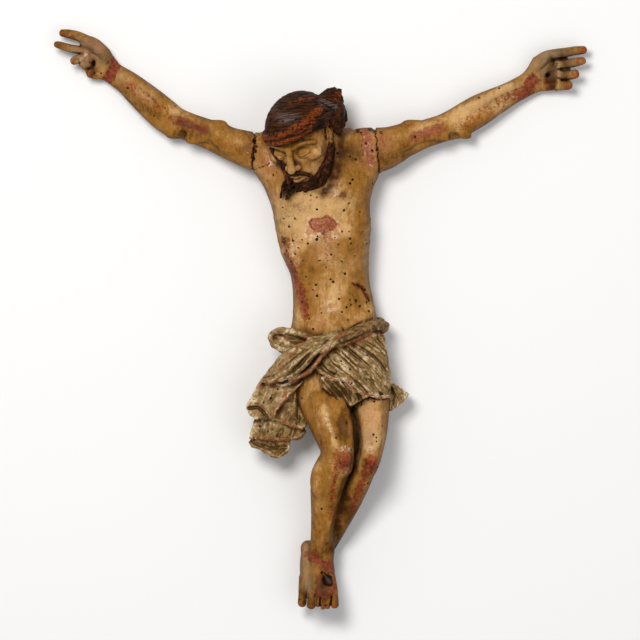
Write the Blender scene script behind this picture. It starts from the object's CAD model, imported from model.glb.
import math

import bmesh
import bpy
import numpy as np
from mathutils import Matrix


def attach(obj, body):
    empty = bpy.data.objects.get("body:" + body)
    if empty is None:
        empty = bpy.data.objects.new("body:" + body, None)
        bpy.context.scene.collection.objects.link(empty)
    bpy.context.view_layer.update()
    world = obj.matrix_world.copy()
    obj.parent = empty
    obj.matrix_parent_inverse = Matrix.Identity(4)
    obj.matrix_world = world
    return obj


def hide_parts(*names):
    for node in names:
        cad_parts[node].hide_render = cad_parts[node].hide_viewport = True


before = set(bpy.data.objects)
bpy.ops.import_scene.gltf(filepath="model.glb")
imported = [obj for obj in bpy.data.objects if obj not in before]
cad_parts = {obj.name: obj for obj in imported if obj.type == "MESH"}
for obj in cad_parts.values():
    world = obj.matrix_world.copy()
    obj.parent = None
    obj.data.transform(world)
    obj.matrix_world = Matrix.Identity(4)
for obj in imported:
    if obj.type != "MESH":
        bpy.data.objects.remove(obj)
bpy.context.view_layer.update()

import openvdb
from mathutils import Matrix, Vector
from mathutils.bvhtree import BVHTree

# Carving block
# The figure is carved in softwood. Bmesh operators don't give forms that flow together and are cut with a
# knife, so a part is a block of cells that hold the distance to its surface, and is meshed from them.
# Places are parts of the front view, 520 to the 390 mm height: across, down and out from the flat back.
PART = 0.00075
MIDDLE = 325
CHEST = 200
FAR = 14.0
BEYOND = 1e3
UNREACHED = 1e9
TINY = 1e-6
STEPS = 4
OUT = np.array([0.0, 0.0, 1.0])


def in_metres(points):
    across, down, out = np.asarray(points, float).T
    return np.stack([(across - MIDDLE) * PART, (CHEST - down) * PART, out * PART], axis=1)


# The stations of a path with rounded steps put in between them
def smooth_path(stations):
    rows = np.array(stations, float)
    ends = np.vstack([2 * rows[0] - rows[1], rows, 2 * rows[-1] - rows[-2]])
    made = []
    for a, b, c, d in zip(ends, ends[1:], ends[2:], ends[3:]):
        for t in np.arange(STEPS) / STEPS:
            made.append(0.5 * (2 * b + (c - a) * t + (2 * a - 5 * b + 4 * c - d) * t**2
                               + (3 * b - a - 3 * c + d) * t**3))
    return np.array(made + [rows[-1]])


def soft_step(low, high, value):
    t = np.clip((value - low) / (high - low), 0, 1)
    return t * t * (3 - 2 * t)


class Block:
    def __init__(self, low, high, cell):
        self.low = np.array(low, float)
        self.cell = cell
        self.field = np.full(np.ceil((np.array(high) - self.low) / cell).astype(int) + 1, FAR, np.float32)

    def window(self, low, high):
        first = np.maximum(np.floor((np.array(low) - self.low) / self.cell).astype(int), 0)
        last = np.minimum(np.ceil((np.array(high) - self.low) / self.cell).astype(int) + 1,
                          self.field.shape)
        last = np.maximum(last, first)
        cut = tuple(slice(a, b) for a, b in zip(first, last))
        axes = [np.float32(self.low[i])
                + np.float32(self.cell) * np.arange(first[i], last[i], dtype=np.float32)
                for i in range(3)]
        return cut, np.meshgrid(*axes, indexing="ij", sparse=True)

    def add(self, cut, shape, blend):
        mine = self.field[cut]
        share = np.clip(0.5 + 0.5 * (mine - shape) / blend, 0, 1)
        self.field[cut] = mine + (shape - mine) * share - blend * share * (1 - share)

    def remove(self, cut, shape, blend):
        self.field[cut] = -self.field[cut]
        self.add(cut, shape, blend)
        self.field[cut] = -self.field[cut]

    # Oval sections along a smooth path: across, down, out, half width, half depth and a turn in degrees
    def limb(self, stations, blend=2.0, hollow=False):
        rows = smooth_path([list(s) + [0] * (6 - len(s)) for s in stations])
        reach = rows[:, 3:5].max() + blend + 2
        cut = self.window(rows[:, :3].min(0) - reach, rows[:, :3].max(0) + reach)[0]
        origin = np.array([s.start for s in cut])
        shape = np.full([s.stop - s.start for s in cut], FAR, np.float32)
        side = np.array([1.0, 0.0, 0.0])
        for a, b in zip(rows, rows[1:]):
            span = b[:3] - a[:3]
            length = np.linalg.norm(span)
            if length < TINY:
                continue
            along = span / length
            across = np.cross(OUT, along)
            if np.linalg.norm(across) > 0.08:
                side = across / np.linalg.norm(across)
            up = np.cross(along, side)
            turn = math.radians(a[5])
            one = side * math.cos(turn) + up * math.sin(turn)
            two = up * math.cos(turn) - side * math.sin(turn)
            near = max(a[3], a[4], b[3], b[4]) + blend + 2
            low, high = np.minimum(a[:3], b[:3]) - near, np.maximum(a[:3], b[:3]) + near
            part, (px, py, pz) = self.window(low, high)
            inner = tuple(slice(s.start - o, s.stop - o) for s, o in zip(part, origin))
            qx, qy, qz = px - np.float32(a[0]), py - np.float32(a[1]), pz - np.float32(a[2])
            t = np.clip((qx * along[0] + qy * along[1] + qz * along[2]) / length, 0, 1).astype(np.float32)
            qx, qy, qz = qx - t * span[0], qy - t * span[1], qz - t * span[2]
            wide = a[3] + (b[3] - a[3]) * t
            deep = a[4] + (b[4] - a[4]) * t
            least = np.minimum(wide, deep)
            u = np.abs(qx * one[0] + qy * one[1] + qz * one[2])
            v = np.abs(qx * two[0] + qy * two[1] + qz * two[2])
            w = np.abs(qx * along[0] + qy * along[1] + qz * along[2])
            scale = np.sqrt((u / wide) ** 2 + (v / deep) ** 2 + (w / least) ** 2)
            steep = np.sqrt((u / wide**2) ** 2 + (v / deep**2) ** 2 + (w / least**2) ** 2)
            far = scale * (scale - 1) / np.maximum(steep, TINY)
            view = shape[inner]
            np.minimum(view, far.astype(np.float32), out=view)
        (self.remove if hollow else self.add)(cut, shape, blend)

    # An egg with three half widths, turned in the front view
    def ball(self, centre, radii, turn=0, blend=2.0, hollow=False):
        reach = max(radii) + blend + 2
        cut, (x, y, z) = self.window(np.array(centre) - reach, np.array(centre) + reach)
        c, s = math.cos(math.radians(turn)), math.sin(math.radians(turn))
        qx, qy, qz = x - centre[0], y - centre[1], z - centre[2]
        u, v = qx * c + qy * s, qy * c - qx * s
        scale = np.sqrt((u / radii[0]) ** 2 + (v / radii[1]) ** 2 + (qz / radii[2]) ** 2)
        steep = np.sqrt((u / radii[0] ** 2) ** 2 + (v / radii[1] ** 2) ** 2 + (qz / radii[2] ** 2) ** 2)
        far = scale * (scale - 1) / np.maximum(steep, TINY)
        (self.remove if hollow else self.add)(cut, far.astype(np.float32), blend)

    # A thin layer of wood inside an outline of the front view, its face at a height given by a function
    def layer(self, outline, face, thick, blend=1.2, edge=1.6):
        points = np.array(outline, float)
        low, high = points.min(0) - 4, points.max(0) + 4
        cut, (x, y, z) = self.window([low[0], low[1], self.low[2]], [high[0], high[1], BEYOND])
        flat = outline_distance(x[:, :, 0], y[:, :, 0], points)[:, :, None]
        middle = (face(x, y) - thick / 2).astype(np.float32)
        depth = np.abs(z - middle) - thick / 2
        a, b = flat + edge, depth + edge
        shape = np.minimum(np.maximum(a, b), 0) + np.hypot(np.maximum(a, 0), np.maximum(b, 0)) - edge
        self.add(cut, shape.astype(np.float32), blend)

    # Raise or sink the front by heights drawn on the front view, only where it stands over `floor`
    def relief(self, low, high, heights, floor):
        cut, (x, y, z) = self.window([low[0], low[1], floor - 8], [high[0], high[1], BEYOND])
        self.field[cut] -= (heights(x, y) * soft_step(floor - 6, floor + 6, z)).astype(np.float32)

    # Everything on the side that the normal points to is cut away, above the given level of the view
    def cut_off(self, point, normal, above=BEYOND, soft=0.6):
        cut, (x, y, z) = self.window([-BEYOND] * 3, [BEYOND, above, BEYOND])
        n = np.array(normal, float) / np.linalg.norm(normal)
        plane = (x - point[0]) * n[0] + (y - point[1]) * n[1] + (z - point[2]) * n[2]
        mine = self.field[cut]
        share = np.clip(0.5 + 0.5 * (plane - mine) / soft, 0, 1)
        self.field[cut] = mine + (plane - mine) * share + soft * share * (1 - share)

    # How far points are from the carved surface, read between the cells
    def at(self, points):
        grid = (np.asarray(points) - self.low) / self.cell
        grid = np.clip(grid, 0, np.array(self.field.shape) - 1.001)
        first = grid.astype(int)
        part = grid - first
        total = 0
        for i in (0, 1):
            for j in (0, 1):
                for k in (0, 1):
                    share = np.prod(np.where((i, j, k), part, 1 - part), axis=1)
                    total = total + share * self.field[first[:, 0] + i, first[:, 1] + j, first[:, 2] + k]
        return total

    # A groove or ridge along a path through space
    def score(self, stations, width, depth):
        rows = smooth_path(stations)
        reach = 2.6 * width
        cut, (x, y, z) = self.window(rows.min(0) - reach, rows.max(0) + reach)
        near = np.full(self.field[cut].shape, UNREACHED, np.float32)
        for a, b in zip(rows, rows[1:]):
            span = b - a
            t = np.clip(((x - a[0]) * span[0] + (y - a[1]) * span[1]
                         + (z - a[2]) * span[2]) / (span @ span), 0, 1)
            near = np.minimum(near, (x - a[0] - t * span[0]) ** 2 + (y - a[1] - t * span[1]) ** 2
                              + (z - a[2] - t * span[2]) ** 2)
        self.field[cut] += (depth * np.exp(-near / width**2)).astype(np.float32)

    # The surface broken in small facets round one place
    def chip(self, centre, radius, size, amount, seed):
        chance = np.random.default_rng(seed)
        centre = np.array(centre, float)
        cut, (x, y, z) = self.window(centre - radius, centre + radius)
        near = np.full(self.field[cut].shape, UNREACHED)
        for a, b, c in chance.uniform(centre - radius, centre + radius, (int((2 * radius / size) ** 3), 3)):
            np.minimum(near, (x - a) ** 2 + (y - b) ** 2 + (z - c) ** 2, out=near)
        away = np.sqrt((x - centre[0]) ** 2 + (y - centre[1]) ** 2 + (z - centre[2]) ** 2)
        facets = amount * (np.sqrt(near) / size - 0.45) * (1 - soft_step(0.55, 1.0, away / radius))
        self.field[cut] += facets.astype(np.float32)


# How far each place of the front view is outside an outline
def outline_distance(x, y, points):
    x, y = np.broadcast_arrays(x, y)
    near = np.full(x.shape, UNREACHED)
    inside = np.zeros(x.shape, bool)
    for (ax, ay), (bx, by) in zip(points, np.roll(points, -1, axis=0)):
        dx, dy = bx - ax, by - ay
        t = np.clip(((x - ax) * dx + (y - ay) * dy) / (dx * dx + dy * dy), 0, 1)
        near = np.minimum(near, (x - ax - t * dx) ** 2 + (y - ay - t * dy) ** 2)
        if dy:
            inside ^= ((ay > y) != (by > y)) & (x < dx * (y - ay) / dy + ax)
    return np.where(inside, -np.sqrt(near), np.sqrt(near))


def mound(x, y, across, down, wide, tall):
    return np.exp(-(((x - across) / wide) ** 2) - ((y - down) / tall) ** 2)


def line(x, y, points, wide):
    near = UNREACHED
    for (ax, ay), (bx, by) in zip(points, points[1:]):
        dx, dy = bx - ax, by - ay
        t = np.clip(((x - ax) * dx + (y - ay) * dy) / (dx * dx + dy * dy), 0, 1)
        near = np.minimum(near, (x - ax - t * dx) ** 2 + (y - ay - t * dy) ** 2)
    return np.exp(-near / wide**2)


# Dabs and strokes on the front view, added up. Each row starts with its amount. A dab goes on with its
# middle and two half widths, and a stroke with its points and half width.
def drawn(x, y, rows):
    total = 0.0
    for amount, *form in rows:
        shape = line if isinstance(form[0], list) else mound
        total = total + amount * shape(x, y, *form)
    return total


def mesh_of(name, block, faces, place=in_metres):
    grid = openvdb.FloatGrid(FAR)
    grid.copyFromArray(block.field)
    points, quads = grid.convertToQuads(0.0)
    mesh = bpy.data.meshes.new(name)
    mesh.from_pydata(place(block.low + block.cell * points.astype(float)).tolist(), [], quads.tolist())
    piece = bpy.data.objects.new(name, mesh)
    bpy.context.scene.collection.objects.link(piece)
    bm = bmesh.new()
    bm.from_mesh(mesh)
    bmesh.ops.triangulate(bm, faces=bm.faces)
    if bm.calc_volume(signed=True) < 0:
        bmesh.ops.reverse_faces(bm, faces=bm.faces)
    bm.to_mesh(mesh)
    bm.free()
    if len(mesh.polygons) > faces:
        thin = piece.modifiers.new("thin", "DECIMATE")
        thin.ratio = faces / len(mesh.polygons)
        settle(piece)
    return piece


def settle(piece):
    made = bpy.data.meshes.new_from_object(piece.evaluated_get(bpy.context.evaluated_depsgraph_get()))
    piece.modifiers.clear()
    old = piece.data
    piece.data = made
    made.name = piece.name
    bpy.data.meshes.remove(old)


# Trunk
# The trunk is carved round in front and planed flat behind, where it lay against the upright.
# Each level gives down, left edge, right edge and front.
TRUNK = [
    (128, 280, 350, 24), (131, 264, 356, 32), (136, 256, 374, 40), (147, 254, 379, 49), (161, 253, 380, 55),
    (173, 255, 380, 59), (184, 262, 375, 62), (197, 268, 371, 63), (211, 272.5, 370, 62),
    (226, 275, 371, 61), (241, 278, 370, 60), (256, 282, 369, 58), (270, 289, 369, 54), (284, 292, 370, 51),
    (298, 293, 373, 50), (309, 293, 375, 50), (322, 292, 378, 52), (344, 287, 383, 54), (368, 287, 387, 54),
    (388, 296, 387, 46), (400, 305, 380, 34),
]

CHEST_FORMS = (
    (4.2, 297, 186, 19, 16), (4.2, 351, 188, 18, 16), (-3.0, [(330, 158), (327, 190), (326, 214)], 5),
    (-1.6, [(322, 217), (305, 215), (287, 206)], 4), (-1.6, [(331, 217), (350, 214), (364, 206)], 4),
    (3.4, [(323, 229), (308, 244), (295, 268)], 6), (3.4, [(326, 229), (341, 244), (356, 269)], 6),
    (-4.0, 326, 262, 16, 24), (-1.6, [(326, 236), (328, 262), (331, 300)], 3.2),
    (-0.9, [(312, 275), (328, 273), (344, 276)], 3), (-0.9, [(311, 292), (330, 290), (347, 293)], 3),
    (2.4, 317, 308, 13, 15), (2.4, 346, 307, 13, 15), (-3.6, 331, 308, 3.4, 3.2), (0.9, 331, 303, 5, 2.2),
    (2.2, [(330, 150), (300, 146), (268, 141)], 4), (2.2, [(337, 150), (352, 146), (370, 141)], 4),
    (-1.6, 334, 156, 5, 5), (1.6, [(293, 312), (303, 322), (316, 330)], 4),
    (1.6, [(375, 308), (364, 318), (350, 327)], 4),
)
RIB_LEVELS = (222, 233, 244, 255, 266)
RIB_RISE = 1.3


def chest_relief(x, y):
    rows = list(CHEST_FORMS)
    for rib in RIB_LEVELS:
        rows.append((RIB_RISE, [(272, rib - 4), (288, rib), (300, rib + 8)], 3))
        rows.append((RIB_RISE, [(374, rib - 4), (362, rib), (351, rib + 8)], 3))
    return drawn(x, y, rows)


BRUISE = np.array([
    (309, 223), (313, 219), (321, 218.6), (327, 216), (333, 220), (337.4, 224), (334, 229), (329, 231.4),
    (325, 235), (317, 232), (312, 229),
], float)
RIGHT_CRACK = [
    (255, 130), (253.4, 134), (256, 137), (254, 141), (256.2, 145), (253.4, 148), (255, 152), (252.2, 155),
    (254.4, 159), (251.8, 163), (253, 168), (251.4, 174),
]
LEFT_CRACKS = (
    [(374, 127), (376.4, 131), (374.8, 136), (377.4, 140), (376, 146), (378.6, 151), (377, 157), (379, 163),
     (378.4, 176)], [(361, 133), (363, 139), (361.4, 146), (363, 153), (362, 160), (363.6, 167)],
)
HIP_CRACK = [(352, 283.4), (357, 285), (362, 288), (365, 294), (369, 301)]

CRACK_DEPTHS = ((-1.7, RIGHT_CRACK, 0.9), (-1.4, LEFT_CRACKS[0], 0.8), (-0.7, LEFT_CRACKS[1], 0.8))
CRACK_PITS = ((254.6, 141.6), (255, 151), (252.8, 158.6), (373.6, 130), (376.6, 150))
CHIPS = (
    ((254, 140, 42), 8, 2.8, 1.2, 1), ((254, 156, 46), 9, 2.8, 1.2, 2), ((368, 134, 42), 11, 3.0, 1.2, 3),
    ((370, 150, 49), 12, 3.0, 0.7, 4), ((357, 132, 38), 8, 3.4, 3.0, 5),
)
CRACK_STROKES = ((0.56, RIGHT_CRACK, 1.1), (0.5, LEFT_CRACKS[0], 1.1), (0.5, LEFT_CRACKS[1], 0.9))
CRACK_SPOTS = (
    (254.6, 141.6, 2.2), (255, 151, 2.4), (252.8, 158.6, 2.2), (373.4, 130, 2.6), (369, 128.6, 2),
    (357.6, 130.6, 2.2), (376.6, 150, 1.6), (381, 133, 1.5),
)


def cracks(x, y):
    pits = [(-1.8, across, down, 1.6, 2.2) for across, down in CRACK_PITS]
    out = drawn(x, y, (*CRACK_DEPTHS, *pits, (-1.5, HIP_CRACK, 1.2)))
    return out - 0.9 * soft_step(0.8, -0.8, outline_distance(x, y, BRUISE))


# Where the paint over the cracks is broken, for the body and for both arms
def shoulder_cracks(x, y):
    spots = [(1.0, across, down, wide, wide * 1.3) for across, down, wide in CRACK_SPOTS]
    return drawn(x, y, (*CRACK_STROKES, *spots))


# The glue joints at the shoulders have cracked open and the gesso has broken away beside them
def open_cracks(block):
    block.relief((246, 120), (384, 305), cracks, 20)
    for centre, radius, size, amount, seed in CHIPS:
        block.chip(centre, radius, size, amount, seed)


def carve_trunk(block):
    cut, (x, y, z) = block.window([240, 118, -20], [400, 410, 90])
    down, left, right, front = smooth_path(TRUNK).T
    left, right, front = (np.interp(y, down, column) for column in (left, right, front))
    half = (right - left) / 2
    middle = 22.0
    rear = middle + 6 - 16 * soft_step(152, 126, y) ** 2 - 14 * soft_step(340, 402, y) ** 2
    u = np.abs(x - (left + right) / 2) / half
    v = np.where(z > middle, (z - middle) / (front - middle), (middle - z) / rear)
    power = np.where(z > middle, 2.5, 2.3)
    scale = (u**power + v**power) ** (1 / power)
    shape = (scale - 1) * np.minimum(half, front - 8)
    shape = np.maximum(shape, np.maximum(TRUNK[0][0] - y, y - TRUNK[-1][0]))
    block.add(cut, shape.astype(np.float32), 0.5)
    block.relief((250, 130), (392, 335), chest_relief, 30)
    block.ball((283.4, 240.6, 45), (5.4, 2, 4), 35, blend=0.8, hollow=True)


# Neck
# The neck leans forward out of the shoulders, with its long muscle on the figure's left side. It is
# carved in one with the trunk, and on the left it runs on into the shoulder.
NECK = [(321, 116, 46, 19, 18), (328, 140, 38, 18, 18), (331, 164, 30, 24, 20)]
NECK_MUSCLE = [(336, 136, 50, 4, 5), (338, 150, 44, 4, 5), (335, 162, 42, 3, 5)]
LEFT_COLLAR = [(343, 143, 30, 9, 12), (354, 145, 28, 10, 13), (366, 146, 26, 11, 13)]


def carve_neck(block):
    block.limb(NECK, 5)
    block.limb(NECK_MUSCLE, 5)
    block.limb(LEFT_COLLAR, 5)


# Legs
# The right leg crosses in front of the left one, and both knees are raised. They are carved in one
# with the trunk, and the carver has left wood standing between them.
RIGHT_THIGH = [
    (318, 368, 36, 26, 22), (322, 400, 46, 23.2, 21), (329.5, 422, 56, 20.4, 20), (335, 440, 63, 17.6, 19),
    (338.5, 453, 66, 15.6, 17.5), (339, 464, 65, 14, 16),
]
RIGHT_SHIN = [
    (337, 454, 63, 13.6, 16), (331, 470, 56, 17.4, 18), (327, 486, 48, 16.4, 17), (325, 503, 42, 14.2, 15),
    (323.5, 520, 36, 12.4, 13), (322, 538, 32.4, 11.3, 12), (322, 552, 30.6, 12, 12),
]
LEFT_THIGH = [
    (366, 380, 35, 24, 21), (370.5, 405, 42, 18.6, 20), (372.4, 425, 49, 15.6, 18),
    (371.4, 445, 54, 12.8, 16), (369, 458, 56, 11.6, 15), (366.4, 466, 54, 11, 14),
]
LEFT_SHIN = [
    (368, 457, 54, 11, 13), (361, 474, 46, 12.4, 14), (353, 492, 37, 12.6, 14), (343, 512, 28, 12, 12.5),
    (332.6, 532, 20, 11, 11), (322, 550, 15, 11, 11),
]
BETWEEN_LEGS = [
    (343, 388, 22, 14, 14), (350, 412, 28, 11, 12), (355, 440, 36, 8, 9), (354, 462, 36, 8, 8),
    (345, 490, 28, 8, 8),
]
RIGHT_SHIN_EDGE = [
    (339, 476, 70, 3, 4), (334.5, 496, 58.5, 3, 4), (329.5, 520, 49, 2.4, 3), (327, 540, 44, 2, 3),
]
LEFT_SHIN_EDGE = [
    (368, 474, 58, 3, 4), (360.5, 492, 48, 3, 4), (351, 512, 38, 2.4, 3), (341, 532, 29, 2, 3),
]
INNER_MUSCLE = [(341, 402, 62, 6, 8), (346, 424, 69, 5.4, 8), (347, 440, 73, 4.6, 6)]
OUTER_MUSCLE = [(318, 398, 66, 6, 5), (327, 424, 75, 5, 5), (335, 444, 80, 3, 4)]
CALF = ((319, 480, 60), (8, 16, 8), 6, 6)
ANKLE_BONE = ((331.6, 546, 33), (2.6, 4.6, 4), 0, 4)
# kneecaps, the tendons below them, and the hollows beside them, which say True
KNEES = (
    ((343.6, 457, 79.5), (7.6, 8.4, 7.4), 8, 2.6), ((341, 470.4, 72.5), (5, 5.4, 5), 0, 4),
    ((332, 464, 84), (4, 9, 4.4), 14, 6, True), ((354.6, 466, 72), (3, 7, 5), -8, 4, True),
    ((372.4, 459.6, 68.4), (6, 7.2, 6.2), 0, 2.4), ((369.6, 471, 61), (4.2, 5, 4.4), 0, 3.4),
    ((362.4, 466, 68), (2.6, 7, 3.6), 10, 4, True),
)
KNEE_CHIPS = (((344, 457, 84), 11, 2.6, 0.9, 6), ((371, 462, 71), 9, 2.6, 0.8, 7))
LEFT_MUSCLE = [(376, 404, 60, 5, 5), (377, 428, 66, 4, 4), (375, 446, 69, 3, 3)]


def carve_legs(block):
    block.limb(RIGHT_THIGH, 4)
    block.limb(RIGHT_SHIN, 4)
    block.limb(LEFT_THIGH, 3)
    block.limb(LEFT_SHIN, 3)
    block.limb(BETWEEN_LEGS, 3)
    for form in KNEES:
        block.ball(*form)
    # shin edges, calves and the long muscles of the thighs
    block.limb(RIGHT_SHIN_EDGE, 4)
    block.limb(LEFT_SHIN_EDGE, 4)
    block.ball(*CALF)
    block.limb(INNER_MUSCLE, 8)
    block.limb(OUTER_MUSCLE, 8)
    block.limb(LEFT_MUSCLE, 7)
    block.ball(*ANKLE_BONE)
    for chip in KNEE_CHIPS:
        block.chip(*chip)


# Feet
# The right foot lies on the left one. The toes are cut apart, and the nail that held both feet sits
# in a ragged hole in the instep.
LEFT_FOOT = [
    (315, 553, 13, 13, 12), (311.4, 562, 15, 11.4, 12.5), (312, 577, 19, 12.2, 12), (313, 590, 24, 13, 9),
]
LEFT_GREAT_TOE = [
    (304.4, 578, 23, 5.6, 7), (303, 588, 27, 4.6, 6.4), (302.4, 596, 28.5, 4.1, 5),
    (302.2, 602.6, 27, 4.6, 4.8),
]
LEFT_INSTEP = [(308, 549, 20, 6, 8), (308, 560, 24, 6.6, 8), (309, 574, 29, 6.6, 8), (309, 588, 34, 5, 6)]
LEFT_TOES = ((310.5, 603), (316.5, 602), (322.3, 601), (328, 599))
RIGHT_FOOT = [
    (322, 545, 26.6, 12, 12.6), (321, 558, 29.6, 12.4, 12.6), (322, 572, 34.6, 12.8, 11.8),
    (321.5, 584, 38.6, 14, 10), (321.6, 592, 40.4, 14.4, 8),
]
TOE_PAD = [(321.6, 591, 40, 14, 7), (321.6, 599, 37.6, 12.6, 4.4)]
RIGHT_TOES = (
    (311.4, 609.8, 38.6, 4.5), (318.2, 606.4, 40.6, 3.1), (323.2, 609.2, 41.4, 3.4), (327.9, 608.4, 42, 3.2),
)
RIGHT_GREAT_TOE = [
    (329.6, 574, 39.6, 5.4, 7), (332.6, 586, 42.6, 4.6, 7), (334.2, 594, 44.4, 3.9, 5.6),
    (334.4, 603.4, 43.4, 4.5, 5),
]
RIGHT_TOENAIL = [(332.4, 601.4, 48.4), (334.4, 599.6, 49), (336.4, 601.4, 47.6)]
LEFT_TOENAIL = [(300.6, 600.6, 31.4), (302.4, 599, 32.4), (304, 600.6, 31.4)]
TENDONS = (
    ((316.6, 562, 41), (314, 574, 44), (312.6, 586, 46)),
    ((329, 562, 41.2), (331, 573, 44.4), (333, 585, 47.8)),
)
NAIL_HOLE = (
    ((327, 578.6, 48), (4.4, 6, 4.6), -24, 1.6, True), ((330, 583.4, 49), (2.6, 2.4, 3), 0, 1.2, True),
    ((324, 573.6, 47), (2, 2, 3), 0, 1.2, True),
)
TOE_GAPS = ((315.4, 1.6), (320.6, 1.2), (325.6, 0.8), (330.6, 2.6))


def carve_feet(block):
    block.limb(LEFT_FOOT, 3)
    block.ball((307, 547, 16), (5.4, 6, 8), blend=4)
    block.limb(LEFT_GREAT_TOE, 1.2)
    block.limb(LEFT_INSTEP, 5)
    for across, tip in LEFT_TOES:
        block.limb([(across, 586, 23, 3.8, 6), (across, tip - 8, 27, 3.2, 4.6),
                    (across, tip - 3.5, 25, 3.2, 4)], 0.6)
    block.limb(RIGHT_FOOT, 3)
    block.ball((320, 556, 17), (10, 12, 11), blend=3)
    block.limb(TOE_PAD, 1.2)
    for across, tip, out, wide in RIGHT_TOES:
        block.limb([
            (across + 0.6, 589, out + 2.4, wide + 0.4, 5),
            (across + 0.3, tip - 12.6, out + 4.6, wide + 0.3, 4.6),
            (across, tip - 7, out + 2.6, wide - 0.2, 4),
            (across - 0.2, tip - wide, out - 0.6, wide + 0.1, 3.6),
        ], 0.9)
        left, right = (across - 1.4, tip - 5.6, out + 4), (across + 1.4, tip - 5.6, out + 4)
        block.score([left, (across, tip - 6.6, out + 4.6), right], 0.6, 0.7)
    block.limb(RIGHT_GREAT_TOE, 0.9)
    block.score(RIGHT_TOENAIL, 0.6, 0.8)
    block.score(LEFT_TOENAIL, 0.6, 0.7)
    for start, middle, end in TENDONS:
        block.limb([(*start, 0.6, 1), (*middle, 1, 1.2), (*end, 0.8, 1)], 3.4)
    for across, depth in TOE_GAPS:
        block.score([(across, 594, 46.6), (across, 598, 47.4), (across, 604, 45)], 0.8, depth)
        block.score([(across, 602, 45.6), (across, 606, 42), (across, 609, 37)], 1.1, 1.6)
    block.chip((324, 596, 47), 11, 2.6, 0.9, 8)
    for form in NAIL_HOLE:
        block.ball(*form)
    block.chip((327, 578, 49), 9, 2.4, 1.0, 10)


# Head
# The head is bowed, tilted and turned to the figure's right. It is carved in its own frame, in the
# same parts: across from the face's middle, up from the chin and forward, 88 parts tall.
HEAD_AT = np.array([299.0, 133.0, 62.0])
HEAD_PIVOT = np.array([0.0, 49.0, 2.5])
HEAD_TURN = np.array(
    Matrix.Rotation(math.radians(20), 3, "Z") @ Matrix.Rotation(math.radians(32), 3, "X")
    @ Matrix.Rotation(math.radians(-28), 3, "Y")
)
FLIP = np.array([1.0, -1.0, 1.0])
BOTH = (-1, 1)


def from_head(points):
    return HEAD_AT + FLIP * ((np.asarray(points, float) - HEAD_PIVOT) @ HEAD_TURN.T)


def into_head(points):
    return (FLIP * (np.asarray(points, float) - HEAD_AT)) @ HEAD_TURN + HEAD_PIVOT


def seen(stations):
    return [(*into_head(s[:3]), *s[3:]) for s in stations]


def mirrored(side, stations):
    return [(side * s[0], *s[1:]) for s in stations]


FACE = [
    (0, 51, 8, 26, 27), (0, 45, 9, 27, 27), (0, 38, 9.5, 26.5, 27), (0, 26, 11, 23, 26),
    (0, 14, 14, 18, 22), (0, 8, 17, 13, 18),
]
NAPE = [(0, 46, -14, 18, 16), (0, 22, -12, 17, 16), (0, 8, -8, 15, 15)]
JAW = [(23.5, 34, -1, 4, 5), (21.5, 19, 4, 4, 5), (14, 7, 19, 4, 5), (2, 2.5, 30, 4, 4)]
BROW = [(4.5, 52.5, 36.5, 2.2, 2.4), (12, 56, 35, 2.4, 2.4), (20, 54.5, 30, 2, 2), (24, 50.5, 24, 1.6, 2)]
LOWER_LID = [(6, 43, 33, 1, 1), (12, 40, 34.4, 1.2, 1.2), (18.4, 42.4, 31, 1, 1)]
UPPER_LID = [
    (5.6, 45, 33.6, 0.9, 1), (9, 43.4, 35.4, 1, 1), (13, 42.7, 35.6, 1, 1), (19.2, 44.6, 31.4, 0.9, 1),
]
LID_PARTING = [(5.8, 43.6, 34.6), (12.4, 41.3, 36), (19, 43.6, 31.8)]
LID_FOLD = [(5.2, 48.6, 34.4), (12.2, 51.2, 34.6), (20, 48.4, 30)]
NOSE = [(0, 52, 34.5, 3.4, 3.6), (0, 45, 38.4, 3, 4.4), (0, 38, 42.4, 3.6, 4.8), (0, 33.4, 45, 4.2, 4.6)]
UPPER_LIP = [
    (-8.6, 20.6, 37, 1.2, 1.2), (-4, 22.4, 40.4, 1.5, 1.5), (0, 21.6, 41.4, 1.6, 1.6),
    (4, 22.4, 40.4, 1.5, 1.5), (8.6, 20.6, 37, 1.2, 1.2),
]
LOWER_LIP = [(-6.6, 18.4, 38.2, 1.4, 1.4), (0, 16.8, 40.6, 2.1, 2), (6.6, 18.4, 38.2, 1.4, 1.4)]
MOUTH = [(-8.8, 20.2, 38.4), (0, 19.5, 42.2), (8.8, 20.2, 38.4)]
LIP_GROOVE = [(0, 28, 41.6), (0, 24, 41.8)]
EAR_RIM = [
    (29, 45.6, 3, 0.9, 1), (29.8, 49.8, 1, 1.1, 1.2), (30.2, 51.4, -3, 1.1, 1.3),
    (30.4, 49, -7.4, 1.1, 1.3), (30, 42, -9, 1.1, 1.3), (29, 35.6, -6.6, 1.1, 1.3),
    (28.4, 32, -2.4, 1.3, 1.6),
]
EAR_FOLD = [(29.8, 46, -3.8, 0.8, 0.9), (30, 41.6, -5.4, 0.8, 0.9), (29.2, 36.4, -3.6, 0.8, 0.9)]


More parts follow.
